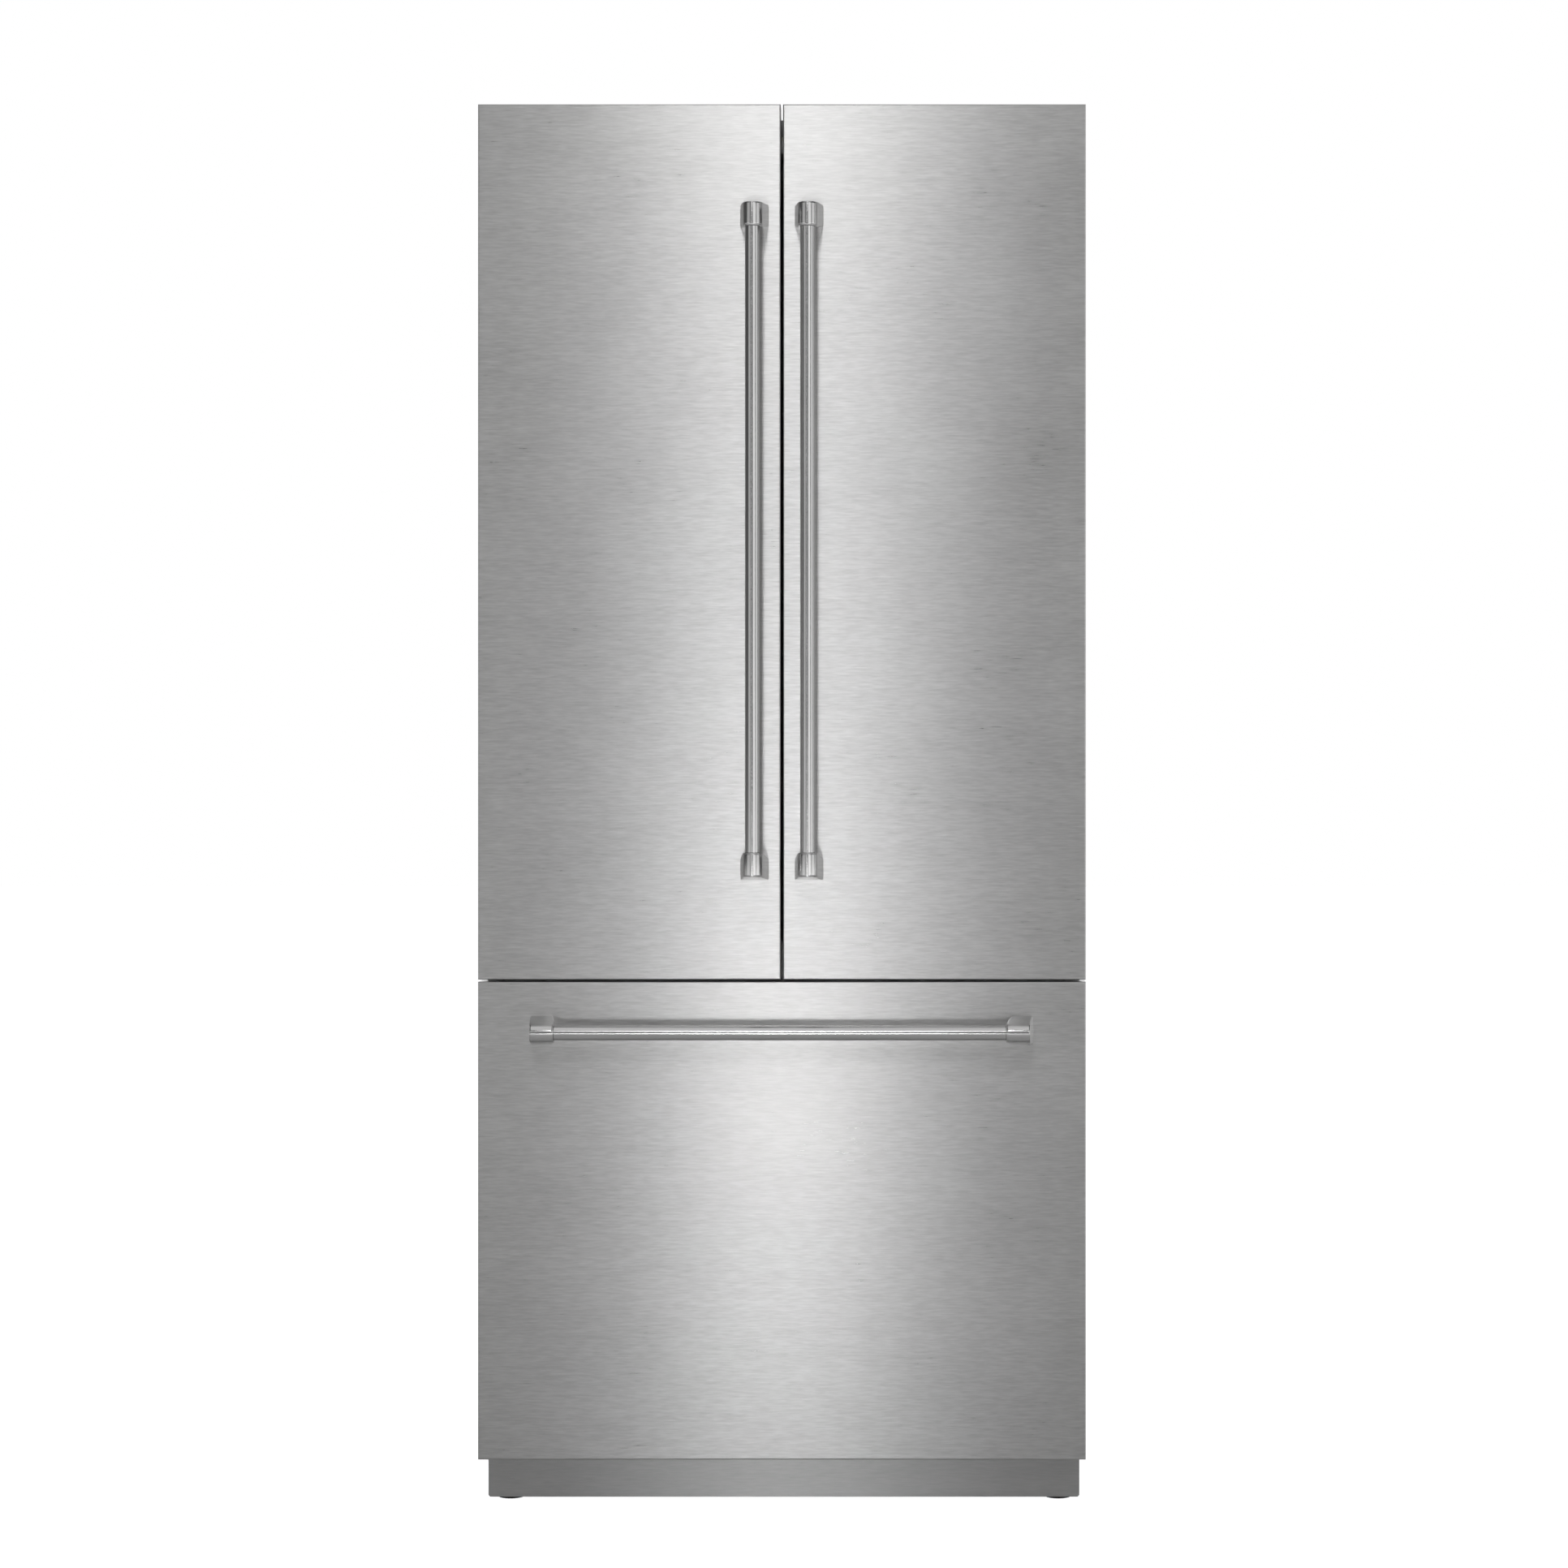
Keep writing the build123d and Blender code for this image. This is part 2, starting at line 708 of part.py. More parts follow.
def shelf_glass():
    """Glass panes of the half shelves and of the crisper cover."""
    panes = Part()
    for level in shelf_levels:
        panes += pair(glass_pane(half_shelf_range(), level))
    cover_x = half_shelf_range()
    return panes + glass_pane((-cover_x[1], cover_x[1]), cover_level)


def shelf_ladders():
    """Slotted steel uprights on the back wall that carry the shelf arms."""
    uprights = Part()
    top = fridge_ceiling - 60
    for offset in ladder_offsets:
        upright_x = (offset - ladder_width / 2, offset + ladder_width / 2)
        bar = block(upright_x, (ladder_front_y(), fridge_back_y), (cover_level + 60, top))
        slot_x = (offset - ladder_slot_half_width, offset + ladder_slot_half_width)
        slot_y = (ladder_front_y() - 1, ladder_front_y() + 3)
        for index in range(ladder_slot_count):
            z = cover_level + 90 + index * ladder_slot_pitch
            bar -= block(slot_x, slot_y, (z, z + ladder_slot_height))
        uprights += pair(bar)
    return uprights


def crisper_cover_frame():
    """Full-width frame that lids the two crispers."""
    side = half_shelf_range()[1]
    return rim((-side, side), cover_level)


def crisper(side):
    """One crisper drawer, side -1 for left and +1 for right."""
    x_range = (shelf_middle_gap / 2 + 2, liner_half_width - 16)
    y_range = (shelf_front_y + 4, shelf_back_y - 12)
    z_range = (fridge_floor, fridge_floor + crisper_height)
    box = open_tray(x_range, y_range, z_range, crisper_wall)
    middle_x = (x_range[0] + x_range[1]) / 2
    pull_x = (middle_x - crisper_pull_half_width, middle_x + crisper_pull_half_width)
    pull = block(pull_x, (y_range[0] - 6, y_range[0]), (z_range[1] - 26, z_range[1] - 20))
    box += pull
    return box if side > 0 else mirrored(box)


# Doors


def door_x():
    """Limits of the right door between the door gap and its hinge edge."""
    return (door_gap / 2, half_width)


def door_panel_right():
    """Folded steel skin of the right door."""
    x_range = door_x()
    z_range = (door_bottom, overall_height)
    flange_y = (face_y, face_y + front_thickness - 2)
    panel = block(x_range, flange_y, z_range)
    inner_x = (x_range[0] + skin, x_range[1] - skin)
    panel -= block(inner_x, (face_y + skin, back_y), (z_range[0] + skin, z_range[1] - skin))
    lip_y = face_y + lip_depth
    panel -= block(inner_x, (lip_y, back_y), (z_range[0] - 1, z_range[1] + 1))
    notch_x = (x_range[1] - 2 * skin, x_range[1] + 1)
    panel -= block(notch_x, (lip_y, back_y), (overall_height - top_recess, overall_height + 1))
    panel -= block(notch_x, (lip_y, back_y), (door_bottom - 1, door_bottom + bottom_recess))
    return fillet(panel.faces().sort_by(Axis.Y)[0].outer_wire().edges(), bend_radius)


def door_liner_right():
    """Moulded back of the right door with its foam: core, dikes and hinge bushes."""
    x_range = door_x()
    core_x = (x_range[0] + skin, x_range[1] - skin)
    core_z = (door_bottom + bottom_recess, overall_height - top_recess)
    core_back = face_y + front_thickness
    liner = block(core_x, (face_y + skin, core_back), core_z)
    dike_z = (fridge_floor + dike_margin, fridge_ceiling - dike_margin)
    dike = ring((dike_inner, dike_outer), (core_back, core_back + dike_depth), dike_z, dike_width)
    dike = fillet(dike.edges().group_by(Axis.Y)[-1], 6)
    liner += dike
    bush_radius = pin_radius + turning_clearance
    liner -= upright(hinge_x, hinge_y, core_z[0] - 1, bush_radius, pin_length + 3)
    liner -= upright(hinge_x, hinge_y, core_z[1] - pin_length - 2, bush_radius, pin_length + 4)
    return liner


def door_gasket_right():
    """Magnetic seal of the right door, a closed ring on the liner's flat."""
    core_back = face_y + front_thickness
    x_range = (16.0, half_width - seal_inset)
    z_range = (door_bottom + seal_inset + 2, overall_height - seal_inset)
    return ring(x_range, (core_back, core_back + seal_depth), z_range, seal_width)


def door_bins_right():
    """Three bins between the dikes of the right door."""
    core_back = face_y + front_thickness
    x_range = (dike_inner + dike_width, dike_outer - dike_width)
    bins = Part()
    y_range = (core_back, core_back + bin_depth)
    for level in bin_levels:
        bins += open_tray(x_range, y_range, (level, level + bin_height), bin_wall)
    return bins


def door_hinges():
    """Four hinge brackets: plates on the cabinet with pins into the doors."""
    arm_x = (hinge_x - hinge_half_width, hinge_x + hinge_half_width)
    arm_y = (hinge_y - hinge_nose, cabinet_front_y)
    top_z = (cabinet_top, cabinet_top + hinge_sheet)
    top = block(arm_x, arm_y, top_z)
    root_x = (hinge_x - 60, cabinet_half_width - 2)
    top += block(root_x, (cabinet_front_y, cabinet_front_y + 70), top_z)
    top += upright(hinge_x, hinge_y, cabinet_top - 1 - pin_length, pin_radius, pin_length + 2)
    low_z = (door_bottom + 2.8, door_bottom + 2.8 + hinge_sheet)
    leg_x = (hinge_x - 17, cabinet_half_width)
    leg_y = (cabinet_front_y - 3, cabinet_front_y)
    low = block(arm_x, arm_y, low_z)
    low += block(leg_x, leg_y, (drawer_top - 14, low_z[1]))
    low += upright(hinge_x, hinge_y, low_z[0] + 1, pin_radius, pin_length + 2)
    return pair(top + low)


# Mullion


def mullion_range():
    """Lower and upper end of the mullion bar."""
    low = fridge_floor + mullion_end_gap
    high = fridge_ceiling - mullion_end_gap - 2
    return (low, high)


def mullion_bar():
    """Folding bar that closes the gap between the doors, stored folded back."""
    low, high = mullion_range()
    radius = mullion_thickness / 2
    height = high - low
    bar = upright(mullion_x, mullion_y, low, radius, height)
    reach_y = (mullion_y, mullion_y + mullion_reach)
    bar += block((mullion_x - radius, mullion_x + radius), reach_y, (low, high))
    bore = mullion_pin_radius + turning_clearance
    bar -= upright(mullion_x, mullion_y, low - 1, bore, mullion_pin_length + 2)
    bar -= upright(mullion_x, mullion_y, high - mullion_pin_length - 1, bore, mullion_pin_length + 2)
    return bar


def mullion_brackets():
    """Pivot brackets of the mullion at the top and bottom of the left door."""
    low, high = mullion_range()
    bracket_x = (mullion_x - 9, mullion_x + 6)
    bracket_y = (face_y + front_thickness, mullion_y + 9)
    top_z = (high + axial_clearance, high + axial_clearance + mullion_bracket_sheet)
    low_z = (low - axial_clearance - mullion_bracket_sheet, low - axial_clearance)
    brackets = block(bracket_x, bracket_y, top_z) + block(bracket_x, bracket_y, low_z)
    pin_z = high - mullion_pin_length + 1
    brackets += upright(mullion_x, mullion_y, pin_z, mullion_pin_radius, top_z[0] - pin_z + 1)
    brackets += upright(mullion_x, mullion_y, low_z[1] - 1, mullion_pin_radius, mullion_pin_length)
    return brackets


# Handles


def handle_post():
    """One faceted post: foot on the plane y = 0, outer end at z = 0, bar along +Z."""
    axis_reach = -(bar_y - face_y)
    half = post_width / 2
    foot_to_axis = math.hypot(half, axis_reach)
    angle = math.acos(collar_radius / foot_to_axis) - math.atan2(axis_reach, half)
    touch_x = collar_radius * math.cos(angle)
    touch_y = -(axis_reach + collar_radius * math.sin(angle))
    flanks = Polygon((-half, 0), (half, 0), (touch_x, touch_y), (-touch_x, touch_y), align=None)
    collar = Pos(0, -axis_reach) * Circle(collar_radius)
    length = post_length + post_overhang
    section = extrude(flanks, amount=length, dir=(0, 0, 1))
    section += extrude(collar, amount=length, dir=(0, 0, 1))
    neck_y = -(axis_reach - collar_radius)
    front = -handle_projection - 1
    root_line = ((0, 0), (0, post_length), (neck_y, length))
    profile = Polygon(*root_line, (front, length), (front, post_mitre), align=None)
    side = extrude(Plane.YZ * profile, amount=post_width, both=True)
    socket_radius = bar_radius + socket_clearance
    socket = upright(0, -axis_reach, length - socket_depth, socket_radius, socket_depth + 1)
    return (section & side) - socket


def handle_posts_upright(total):
    """Both posts of an upright handle, with the lower end at z = 0."""
    post = handle_post()
    return post + Pos(0, 0, total) * mirror(post, about=Plane.XY)


def handle_bar_upright(total):
    """Round bar of an upright handle between the sockets of its posts."""
    start = post_length + post_overhang - socket_depth + 0.5
    return upright(0, bar_y - face_y, start, bar_radius, total - 2 * start)


def on_door(shape, side):
    """Moves an upright handle piece to the left (-1) or right (+1) door."""
    return Pos(side * door_handle_x, face_y, door_handle_bottom) * shape


def on_drawer(shape):
    """Lays an upright handle piece across the drawer front."""
    return Pos(-drawer_handle_length / 2, face_y, drawer_handle_z) * Rot(0, 90, 0) * shape


# Freezer drawer


def drawer_panel():
    """Folded steel skin of the freezer drawer."""
    z_range = (drawer_bottom, drawer_top)
    panel = block((-half_width, half_width), (face_y, face_y + front_thickness - 2), z_range)
    inner_x = (-half_width + skin, half_width - skin)
    panel -= block(inner_x, (face_y + skin, back_y), (z_range[0] + skin, z_range[1] - skin))
    return fillet(panel.faces().sort_by(Axis.Y)[0].outer_wire().edges(), bend_radius)


def drawer_liner():
    """Moulded back of the drawer front, with its foam."""
    core_back = face_y + front_thickness
    core_x = half_width - skin
    core_z = (drawer_bottom + skin, drawer_top - skin)
    core = block((-core_x, core_x), (face_y + skin, core_back), core_z)
    plug_x = liner_half_width - 8
    plug_z = (freezer_floor + 8, freezer_ceiling - 8)
    plug = block((-plug_x, plug_x), (core_back, core_back + 9), plug_z)
    return core + fillet(plug.edges().group_by(Axis.Y)[-1], 4)


def drawer_gasket():
    """Magnetic seal of the freezer drawer."""
    core_back = face_y + front_thickness
    x_range = (-half_width + seal_inset, half_width - seal_inset)
    z_range = (drawer_bottom + seal_inset, drawer_top - seal_inset)
    return ring(x_range, (core_back, core_back + seal_depth), z_range, seal_width)


def slide_outer():
    """Cabinet members of the drawer slides, channels open to the middle."""
    outer_x = (liner_half_width - slide_outer_width, liner_half_width)
    channel_z = (slide_bottom, slide_bottom + slide_height)
    channel = block(outer_x, (slide_front_y, slide_back_y), channel_z)
    hollow_z = (channel_z[0] + slide_sheet, channel_z[1] - slide_sheet)
    hollow_x = (outer_x[0] - 1, outer_x[1] - slide_sheet)
    return pair(channel - block(hollow_x, (slide_front_y - 1, slide_back_y + 1), hollow_z))


def slide_middle():
    """Middle members that run inside the cabinet members."""
    inset = slide_sheet + slide_gap
    bar_z = (slide_bottom + inset, slide_bottom + slide_height - inset)
    bar_x = (liner_half_width - slide_outer_width + 1, liner_half_width - inset)
    return pair(block(bar_x, (slide_front_y, slide_back_y), bar_z))


def slide_inner():
    """Drawer members of the slides, bolted to the drawer front and under the basket rim."""
    outer_face = liner_half_width - slide_outer_width
    bar_x = (outer_face - 9, outer_face - slide_gap)
    plate_y = face_y + front_thickness + 9
    bar_top = slide_bottom + slide_height
    bar = block(bar_x, (plate_y, slide_back_y), (slide_bottom, bar_top))
    foot_range_x = (bar_x[0] - 14, bar_x[1])
    bolted_plate = block(foot_range_x, (plate_y, plate_y + 3), (slide_bottom - 20, bar_top))
    return pair(bar + bolted_plate)


def freezer_basket():
    """Deep freezer basket with a rim that hangs on the drawer slides."""
    z_range = (freezer_floor + 14, slide_bottom + slide_height + 3)
    y_range = (slide_front_y + 12, step_y - 12)
    basket_x = (-basket_half_width, basket_half_width)
    basket = open_tray(basket_x, y_range, z_range, tray_wall)
    rim_x = (basket_half_width, liner_half_width - slide_outer_width - slide_gap)
    rim_z = (z_range[1] - tray_wall, z_range[1])
    reach = basket_half_width - 2 * basket_hole_half_width
    hole_y = (y_range[0] - 1, y_range[0] + tray_wall + 1)
    for index in range(basket_hole_columns):
        x = -reach + index * 2 * reach / (basket_hole_columns - 1)
        hole_x = (x - basket_hole_half_width, x + basket_hole_half_width)
        for row in range(basket_hole_rows):
            z = z_range[0] + 60 + row * basket_hole_pitch
            basket -= block(hole_x, hole_y, (z, z + basket_hole_height))
    return basket + pair(block(rim_x, y_range, rim_z))


def freezer_tray():
    """Shallow upper tray that slides on the ledges of the liner."""
    y_range = (slide_front_y + 12, slide_back_y)
    tray_x = (-tray_half_width, tray_half_width)
    tray = open_tray(tray_x, y_range, (tray_bottom, tray_top), tray_wall)
    rim_x = (tray_half_width, liner_half_width - 8)
    return tray + pair(block(rim_x, y_range, (tray_top - tray_rim, tray_top)))


pieces = {
    "cabinet_shell": cabinet_shell(),
    "back_panel": back_panel(),
    "base_pan": base_pan(),
    "foam_insulation": foam_insulation(),
    "fridge_liner": fridge_liner(),
    "freezer_liner": freezer_liner(),
    "divider_rail": divider_rail(),
    "toe_kick": toe_kick(),
    "front_foot_left": front_foot(-foot_x),
    "front_foot_right": front_foot(foot_x),
    "rear_roller_left": rear_roller(-roller_x),
    "rear_roller_right": rear_roller(roller_x),
    "roller_brackets": roller_brackets(),
    "compressor": compressor(),
    "condenser": condenser(),
    "fan_shroud": fan_shroud(),
    "condenser_fan": condenser_fan(),
    "drain_pan": drain_pan(),
    "rear_cover": rear_cover(),
    "fridge_air_panel": fridge_air_panel(),
    "freezer_air_panel": freezer_air_panel(),
    "evaporator": evaporator(),
    "evaporator_fan": evaporator_fan(),
    "control_panel": control_panel(),
    "control_button_left": control_button(-button_spacing),
    "control_button_middle": control_button(0),
    "control_button_right": control_button(button_spacing),
    "ceiling_light": ceiling_light(),
    "shelf_frames": shelf_frames(),
    "shelf_glass": shelf_glass(),
    "shelf_ladders": shelf_ladders(),
    "crisper_cover_frame": crisper_cover_frame(),
    "crisper_left": crisper(-1),
    "crisper_right": crisper(1),
    "door_hinges": door_hinges(),
    "door_panel_left": mirrored(door_panel_right()),
    "door_panel_right": door_panel_right(),
    "door_liner_left": mirrored(door_liner_right()),
    "door_liner_right": door_liner_right(),
    "door_gasket_left": mirrored(door_gasket_right()),
    "door_gasket_right": door_gasket_right(),
    "door_bins_left": mirrored(door_bins_right()),
    "door_bins_right": door_bins_right(),
    "handle_bar_left": on_door(handle_bar_upright(door_handle_length), -1),
    "handle_bar_right": on_door(handle_bar_upright(door_handle_length), 1),
    "handle_posts_left": on_door(handle_posts_upright(door_handle_length), -1),
    "handle_posts_right": on_door(handle_posts_upright(door_handle_length), 1),
    "mullion_bar": mullion_bar(),
    "mullion_brackets": mullion_brackets(),
    "drawer_panel": drawer_panel(),
    "drawer_liner": drawer_liner(),
    "drawer_gasket": drawer_gasket(),
    "drawer_handle_bar": on_drawer(handle_bar_upright(drawer_handle_length)),
    "drawer_handle_posts": on_drawer(handle_posts_upright(drawer_handle_length)),
    "slide_outer": slide_outer(),
    "slide_middle": slide_middle(),
    "slide_inner": slide_inner(),
    "freezer_basket": freezer_basket(),
    "freezer_tray": freezer_tray(),
}

for name, shape in pieces.items():
    export_step(shape, f"parts/{name}.step")
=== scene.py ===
"""French door refrigerator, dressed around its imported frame.

Each sub-assembly is a class that builds its own surfaces and gives its pieces their finishes.
Shapes are grids of points worked out with numpy. Sizes are in metres.
"""

import json
import logging
import math
from dataclasses import dataclass
from enum import Enum
from typing import Any, Sequence

import bmesh
import bpy
import numpy as np
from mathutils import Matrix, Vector


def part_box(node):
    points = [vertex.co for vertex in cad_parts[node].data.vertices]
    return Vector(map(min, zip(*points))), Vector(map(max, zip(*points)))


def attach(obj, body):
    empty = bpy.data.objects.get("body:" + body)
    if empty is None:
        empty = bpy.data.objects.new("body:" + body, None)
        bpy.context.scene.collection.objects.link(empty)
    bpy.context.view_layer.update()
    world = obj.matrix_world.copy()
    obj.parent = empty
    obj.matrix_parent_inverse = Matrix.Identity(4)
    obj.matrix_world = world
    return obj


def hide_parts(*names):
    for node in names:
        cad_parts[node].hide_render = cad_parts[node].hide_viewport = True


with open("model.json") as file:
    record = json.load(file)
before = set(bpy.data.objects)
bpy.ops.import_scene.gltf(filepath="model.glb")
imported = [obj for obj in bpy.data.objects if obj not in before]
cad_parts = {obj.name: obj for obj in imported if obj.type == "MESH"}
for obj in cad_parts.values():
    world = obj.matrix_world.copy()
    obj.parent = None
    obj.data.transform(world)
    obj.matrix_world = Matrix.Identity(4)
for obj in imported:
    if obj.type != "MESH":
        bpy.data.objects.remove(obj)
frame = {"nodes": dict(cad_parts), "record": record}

Piece = bpy.types.Object
Socket = bpy.types.NodeSocket
Material = bpy.types.Material
Pair = tuple[float, float]
Triple = tuple[float, float, float]

SHARP_ANGLE = math.radians(34)
LEAST_CORNER = 0.002
log = logging.getLogger("refrigerator")


# ---- frame


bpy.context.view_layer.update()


@dataclass(frozen=True)
class NodeBox:
    """The limits of one CAD node on each axis."""

    x: Pair
    y: Pair
    z: Pair

    @classmethod
    def of(cls, node: str) -> "NodeBox":
        """Read a node's box from the frame."""
        low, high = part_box(node)
        return cls((low.x, high.x), (low.y, high.y), (low.z, high.z))

    def middle(self) -> Triple:
        """Return the centre point."""
        return (sum(self.x) / 2, sum(self.y) / 2, sum(self.z) / 2)


def body_of_node(node: str) -> str:
    """Return the name of the body that a CAD node belongs to.

    Args:
        node: The name of the CAD node.

    Returns:
        The body's name.
    """
    for body, members in frame["record"]["behaviour"]["bodies"].items():
        if node in members:
            return body
    raise KeyError(node)


def slot_of_node(node: str) -> str:
    """Return the material slot of a CAD node.

    Args:
        node: The name of the CAD node.

    Returns:
        The slot's name.
    """
    for entry in frame["record"]["subparts"]:
        if entry["node"] == node:
            return entry["material_slot"]
    raise KeyError(node)


# ---- shader maths


class Value:
    """A number socket that takes part in Python expressions, each adding one Math node."""

    def __init__(self, shader: "Shader", socket: Socket) -> None:
        """Wrap a socket of a shader's node tree."""
        self.shader = shader
        self.socket = socket

    def maths(self, operation: str, first: Any, second: Any) -> "Value":
        """Return the result of a new Math node with this operation on two values or links."""
        node = self.shader.node("ShaderNodeMath", {"operation": operation}, {0: first, 1: second})
        return Value(self.shader, node.outputs[0])

    def __add__(self, other: Any) -> "Value":
        """Return self + other."""
        return self.maths("ADD", self, other)

    def __sub__(self, other: Any) -> "Value":
        """Return self - other."""
        return self.maths("SUBTRACT", self, other)

    def __rsub__(self, other: Any) -> "Value":
        """Return other - self."""
        return self.maths("SUBTRACT", other, self)

    def __mul__(self, other: Any) -> "Value":
        """Return self * other."""
        return self.maths("MULTIPLY", self, other)

    def least(self, other: Any) -> "Value":
        """Return the smaller of the two."""
        return self.maths("MINIMUM", self, other)

    def most(self, other: Any) -> "Value":
        """Return the larger of the two."""
        return self.maths("MAXIMUM", self, other)

    __radd__ = __add__


class Shader:
    """A material with one Principled shader and short ways to add its nodes."""

    def __init__(self, name: str) -> None:
        """Make an empty material that ends in a Principled shader.

        Args:
            name: The material's name.
        """
        self.material = bpy.data.materials.new(name)
        self.material.use_nodes = True
        self.tree = self.material.node_tree
        self.tree.nodes.clear()
        output = self.tree.nodes.new("ShaderNodeOutputMaterial")
        self.principled = self.tree.nodes.new("ShaderNodeBsdfPrincipled")
        self.tree.links.new(self.principled.outputs[0], output.inputs[0])

    def put(self, node: bpy.types.Node, key: int | str, value: Any) -> None:
        """Set or link one input of a node.

        Args:
            node: The node.
            key: The input's name or number.
            value: A constant, a socket or a Value.
        """
        socket = node.inputs[key]
        source = value.socket if isinstance(value, Value) else value
        if isinstance(source, Socket):
            self.tree.links.new(source, socket)
        else:
            socket.default_value = source

    def node(self, kind: str, settings: dict[str, Any], inputs: dict[int | str, Any]) -> bpy.types.Node:
        """Add a node.

        Args:
            kind: The node's type.
            settings: Its settings, set before its inputs.
            inputs: The values or links of its sockets.

        Returns:
            The new node.
        """
        node = self.tree.nodes.new(kind)
        for key, value in settings.items():
            setattr(node, key, value)
        for key, value in inputs.items():
            self.put(node, key, value)
        return node

    def place(self, scale: Sequence[float] = (1, 1, 1)) -> Socket:
        """Return object coordinates, scaled by a Mapping node.

        Args:
            scale: The scale on each axis.

        Returns:
            The Mapping node's output.
        """
        coordinates = self.node("ShaderNodeTexCoord", {}, {})
        mapping = self.node("ShaderNodeMapping", {}, {0: coordinates.outputs["Object"], 3: tuple(scale)})
        return mapping.outputs[0]

    def noise(self, where: Socket, detail: float) -> Value:
        """Return a noise pattern between 0 and 1, with one turn to each unit of its place."""
        node = self.node("ShaderNodeTexNoise", {}, {"Vector": where, "Scale": 1.0, "Detail": detail})
        return Value(self, node.outputs["Fac"])

    def cloud(self, rate: float, detail: float) -> Value:
        """Return an even noise pattern, rate turns to the metre on every axis."""
        return self.noise(self.place((rate, rate, rate)), detail)

    def cells(self, where: Socket, scale: float) -> Value:
        """Return a random grey for each cell of a Voronoi pattern.

        Args:
            where: The place to read the pattern at.
            scale: Cells to each unit of the place.

        Returns:
            The grey, from 0 to 1.
        """
        node = self.node("ShaderNodeTexVoronoi", {}, {"Vector": where, "Scale": scale})
        split = self.node("ShaderNodeSeparateColor", {}, {0: node.outputs["Color"]})
        return Value(self, split.outputs[0])

    def between(self, factor: Value, low: Sequence[float], high: Sequence[float]) -> Socket:
        """Return a colour mixed from low to high by a factor.

        Args:
            factor: The share of the high colour.
            low: The colour at 0.
            high: The colour at 1.

        Returns:
            The mixed colour.
        """
        settings = {"data_type": "RGBA", "blend_type": "MIX"}
        node = self.node("ShaderNodeMix", settings, {0: factor, 6: (*low, 1.0), 7: (*high, 1.0)})
        return node.outputs[2]

    def bump(self, height: Value, distance: float, strength: float) -> Socket:
        """Return a normal bent by a height pattern."""
        node = self.node("ShaderNodeBump", {}, {"Height": height, "Distance": distance, "Strength": strength})
        return node.outputs[0]

    def surface(self, **inputs: Any) -> Material:
        """Set the Principled shader's inputs.

        Args:
            **inputs: Values or links by the input's name, with _ for a blank.

        Returns:
            The material.
        """
        for key, value in inputs.items():
            self.put(self.principled, key.replace("_", " "), value)
        return self.material


def grey(level: float, warmth: float = 0.0) -> Triple:
    """Return a grey, a little warmer where warmth is above 0."""
    return (level * (1 + warmth), level, level * (1 - warmth))


# ---- finishes


class Grain(Enum):
    """The direction in which a metal was brushed."""

    ALONG_X = (1, 0, 0)
    ALONG_Z = (0, 0, 1)

    def stretch(self, along: float, across: float) -> Triple:
        """Return pattern frequencies along and across the grain, per metre."""
        return tuple(along if part else across for part in self.value)


@dataclass(frozen=True)
class BrushedSteel:
    """Stainless steel with short fine scratches along one direction."""

    name: str
    grain: Grain
    level: float
    roughness: float
    contrast: float = 0.10
    scratch_depth: float = 0.00002
    spread: float = 0.0
    spread_turn: float = 0.0
    hairline_rates: Pair = (22, 1300)
    streak_rates: Pair = (48, 430)
    band_rates: Pair = (7, 120)

    def material(self) -> Material:
        """Build the material: hairline scratches, wider bands and a faint cloudiness.

        Returns:
            The material.
        """
        shader = Shader(self.name)
        hairline = shader.noise(shader.place(self.grain.stretch(*self.hairline_rates)), 2.0)
        streak = shader.noise(shader.place(self.grain.stretch(*self.streak_rates)), 2.0)
        band = shader.noise(shader.place(self.grain.stretch(*self.band_rates)), 3.0)
        cloud = shader.cloud(9, 4.0)
        tone = 0.5 + (hairline - 0.5) * 0.5 + (streak - 0.5) * 1.3 + (band - 0.5) * 0.35 + (cloud - 0.5) * 0.45
        low = grey(self.level * (1 - self.contrast), 0.004)
        high = grey(self.level * (1 + self.contrast), 0.004)
        rough = self.roughness - 0.08 + hairline * 0.05 + streak * 0.07 + cloud * 0.04
        return shader.surface(
            Base_Color=shader.between(tone, low, high),
            Metallic=1.0,
            Roughness=rough,
            Anisotropic=self.spread,
            Anisotropic_Rotation=self.spread_turn,
            Normal=shader.bump(hairline, self.scratch_depth, 0.6),
        )


@dataclass(frozen=True)
class PaintedSheet:
    """Powder-coated sheet with a fine orange-peel surface."""

    name: str
    level: float
    roughness: float = 0.42

    def material(self) -> Material:
        """Build the material: pebbled bump, faint wear in colour and gloss.

        Returns:
            The material.
        """
        shader = Shader(self.name)
        peel = shader.cloud(420, 2.0)
        cloud = shader.cloud(3, 4.0)
        return shader.surface(
            Base_Color=shader.between(cloud * 0.7 + peel * 0.3, grey(self.level * 0.90), grey(self.level * 1.08)),
            Roughness=self.roughness - 0.05 + cloud * 0.12,
            Normal=shader.bump(peel, 0.00012, 0.5),
            Coat_Weight=0.15,
        )


@dataclass(frozen=True)
class ZincSheet:
    """Galvanised sheet with its crystal pattern."""

    name: str
    level: float = 0.55

    def material(self) -> Material:
        """Build the material: crystals of differing grey with a dull film.

        Returns:
            The material.
        """
        shader = Shader(self.name)
        crystal = shader.cells(shader.place(), 150.0)
        film = shader.cloud(9, 4.0)
        return shader.surface(
            Base_Color=shader.between(crystal * 0.6 + film * 0.4, grey(self.level * 0.88), grey(self.level * 1.08)),
            Metallic=0.85,
            Roughness=0.38 + crystal * 0.10 + film * 0.08,
            Normal=shader.bump(crystal, 0.00003, 0.4),
        )


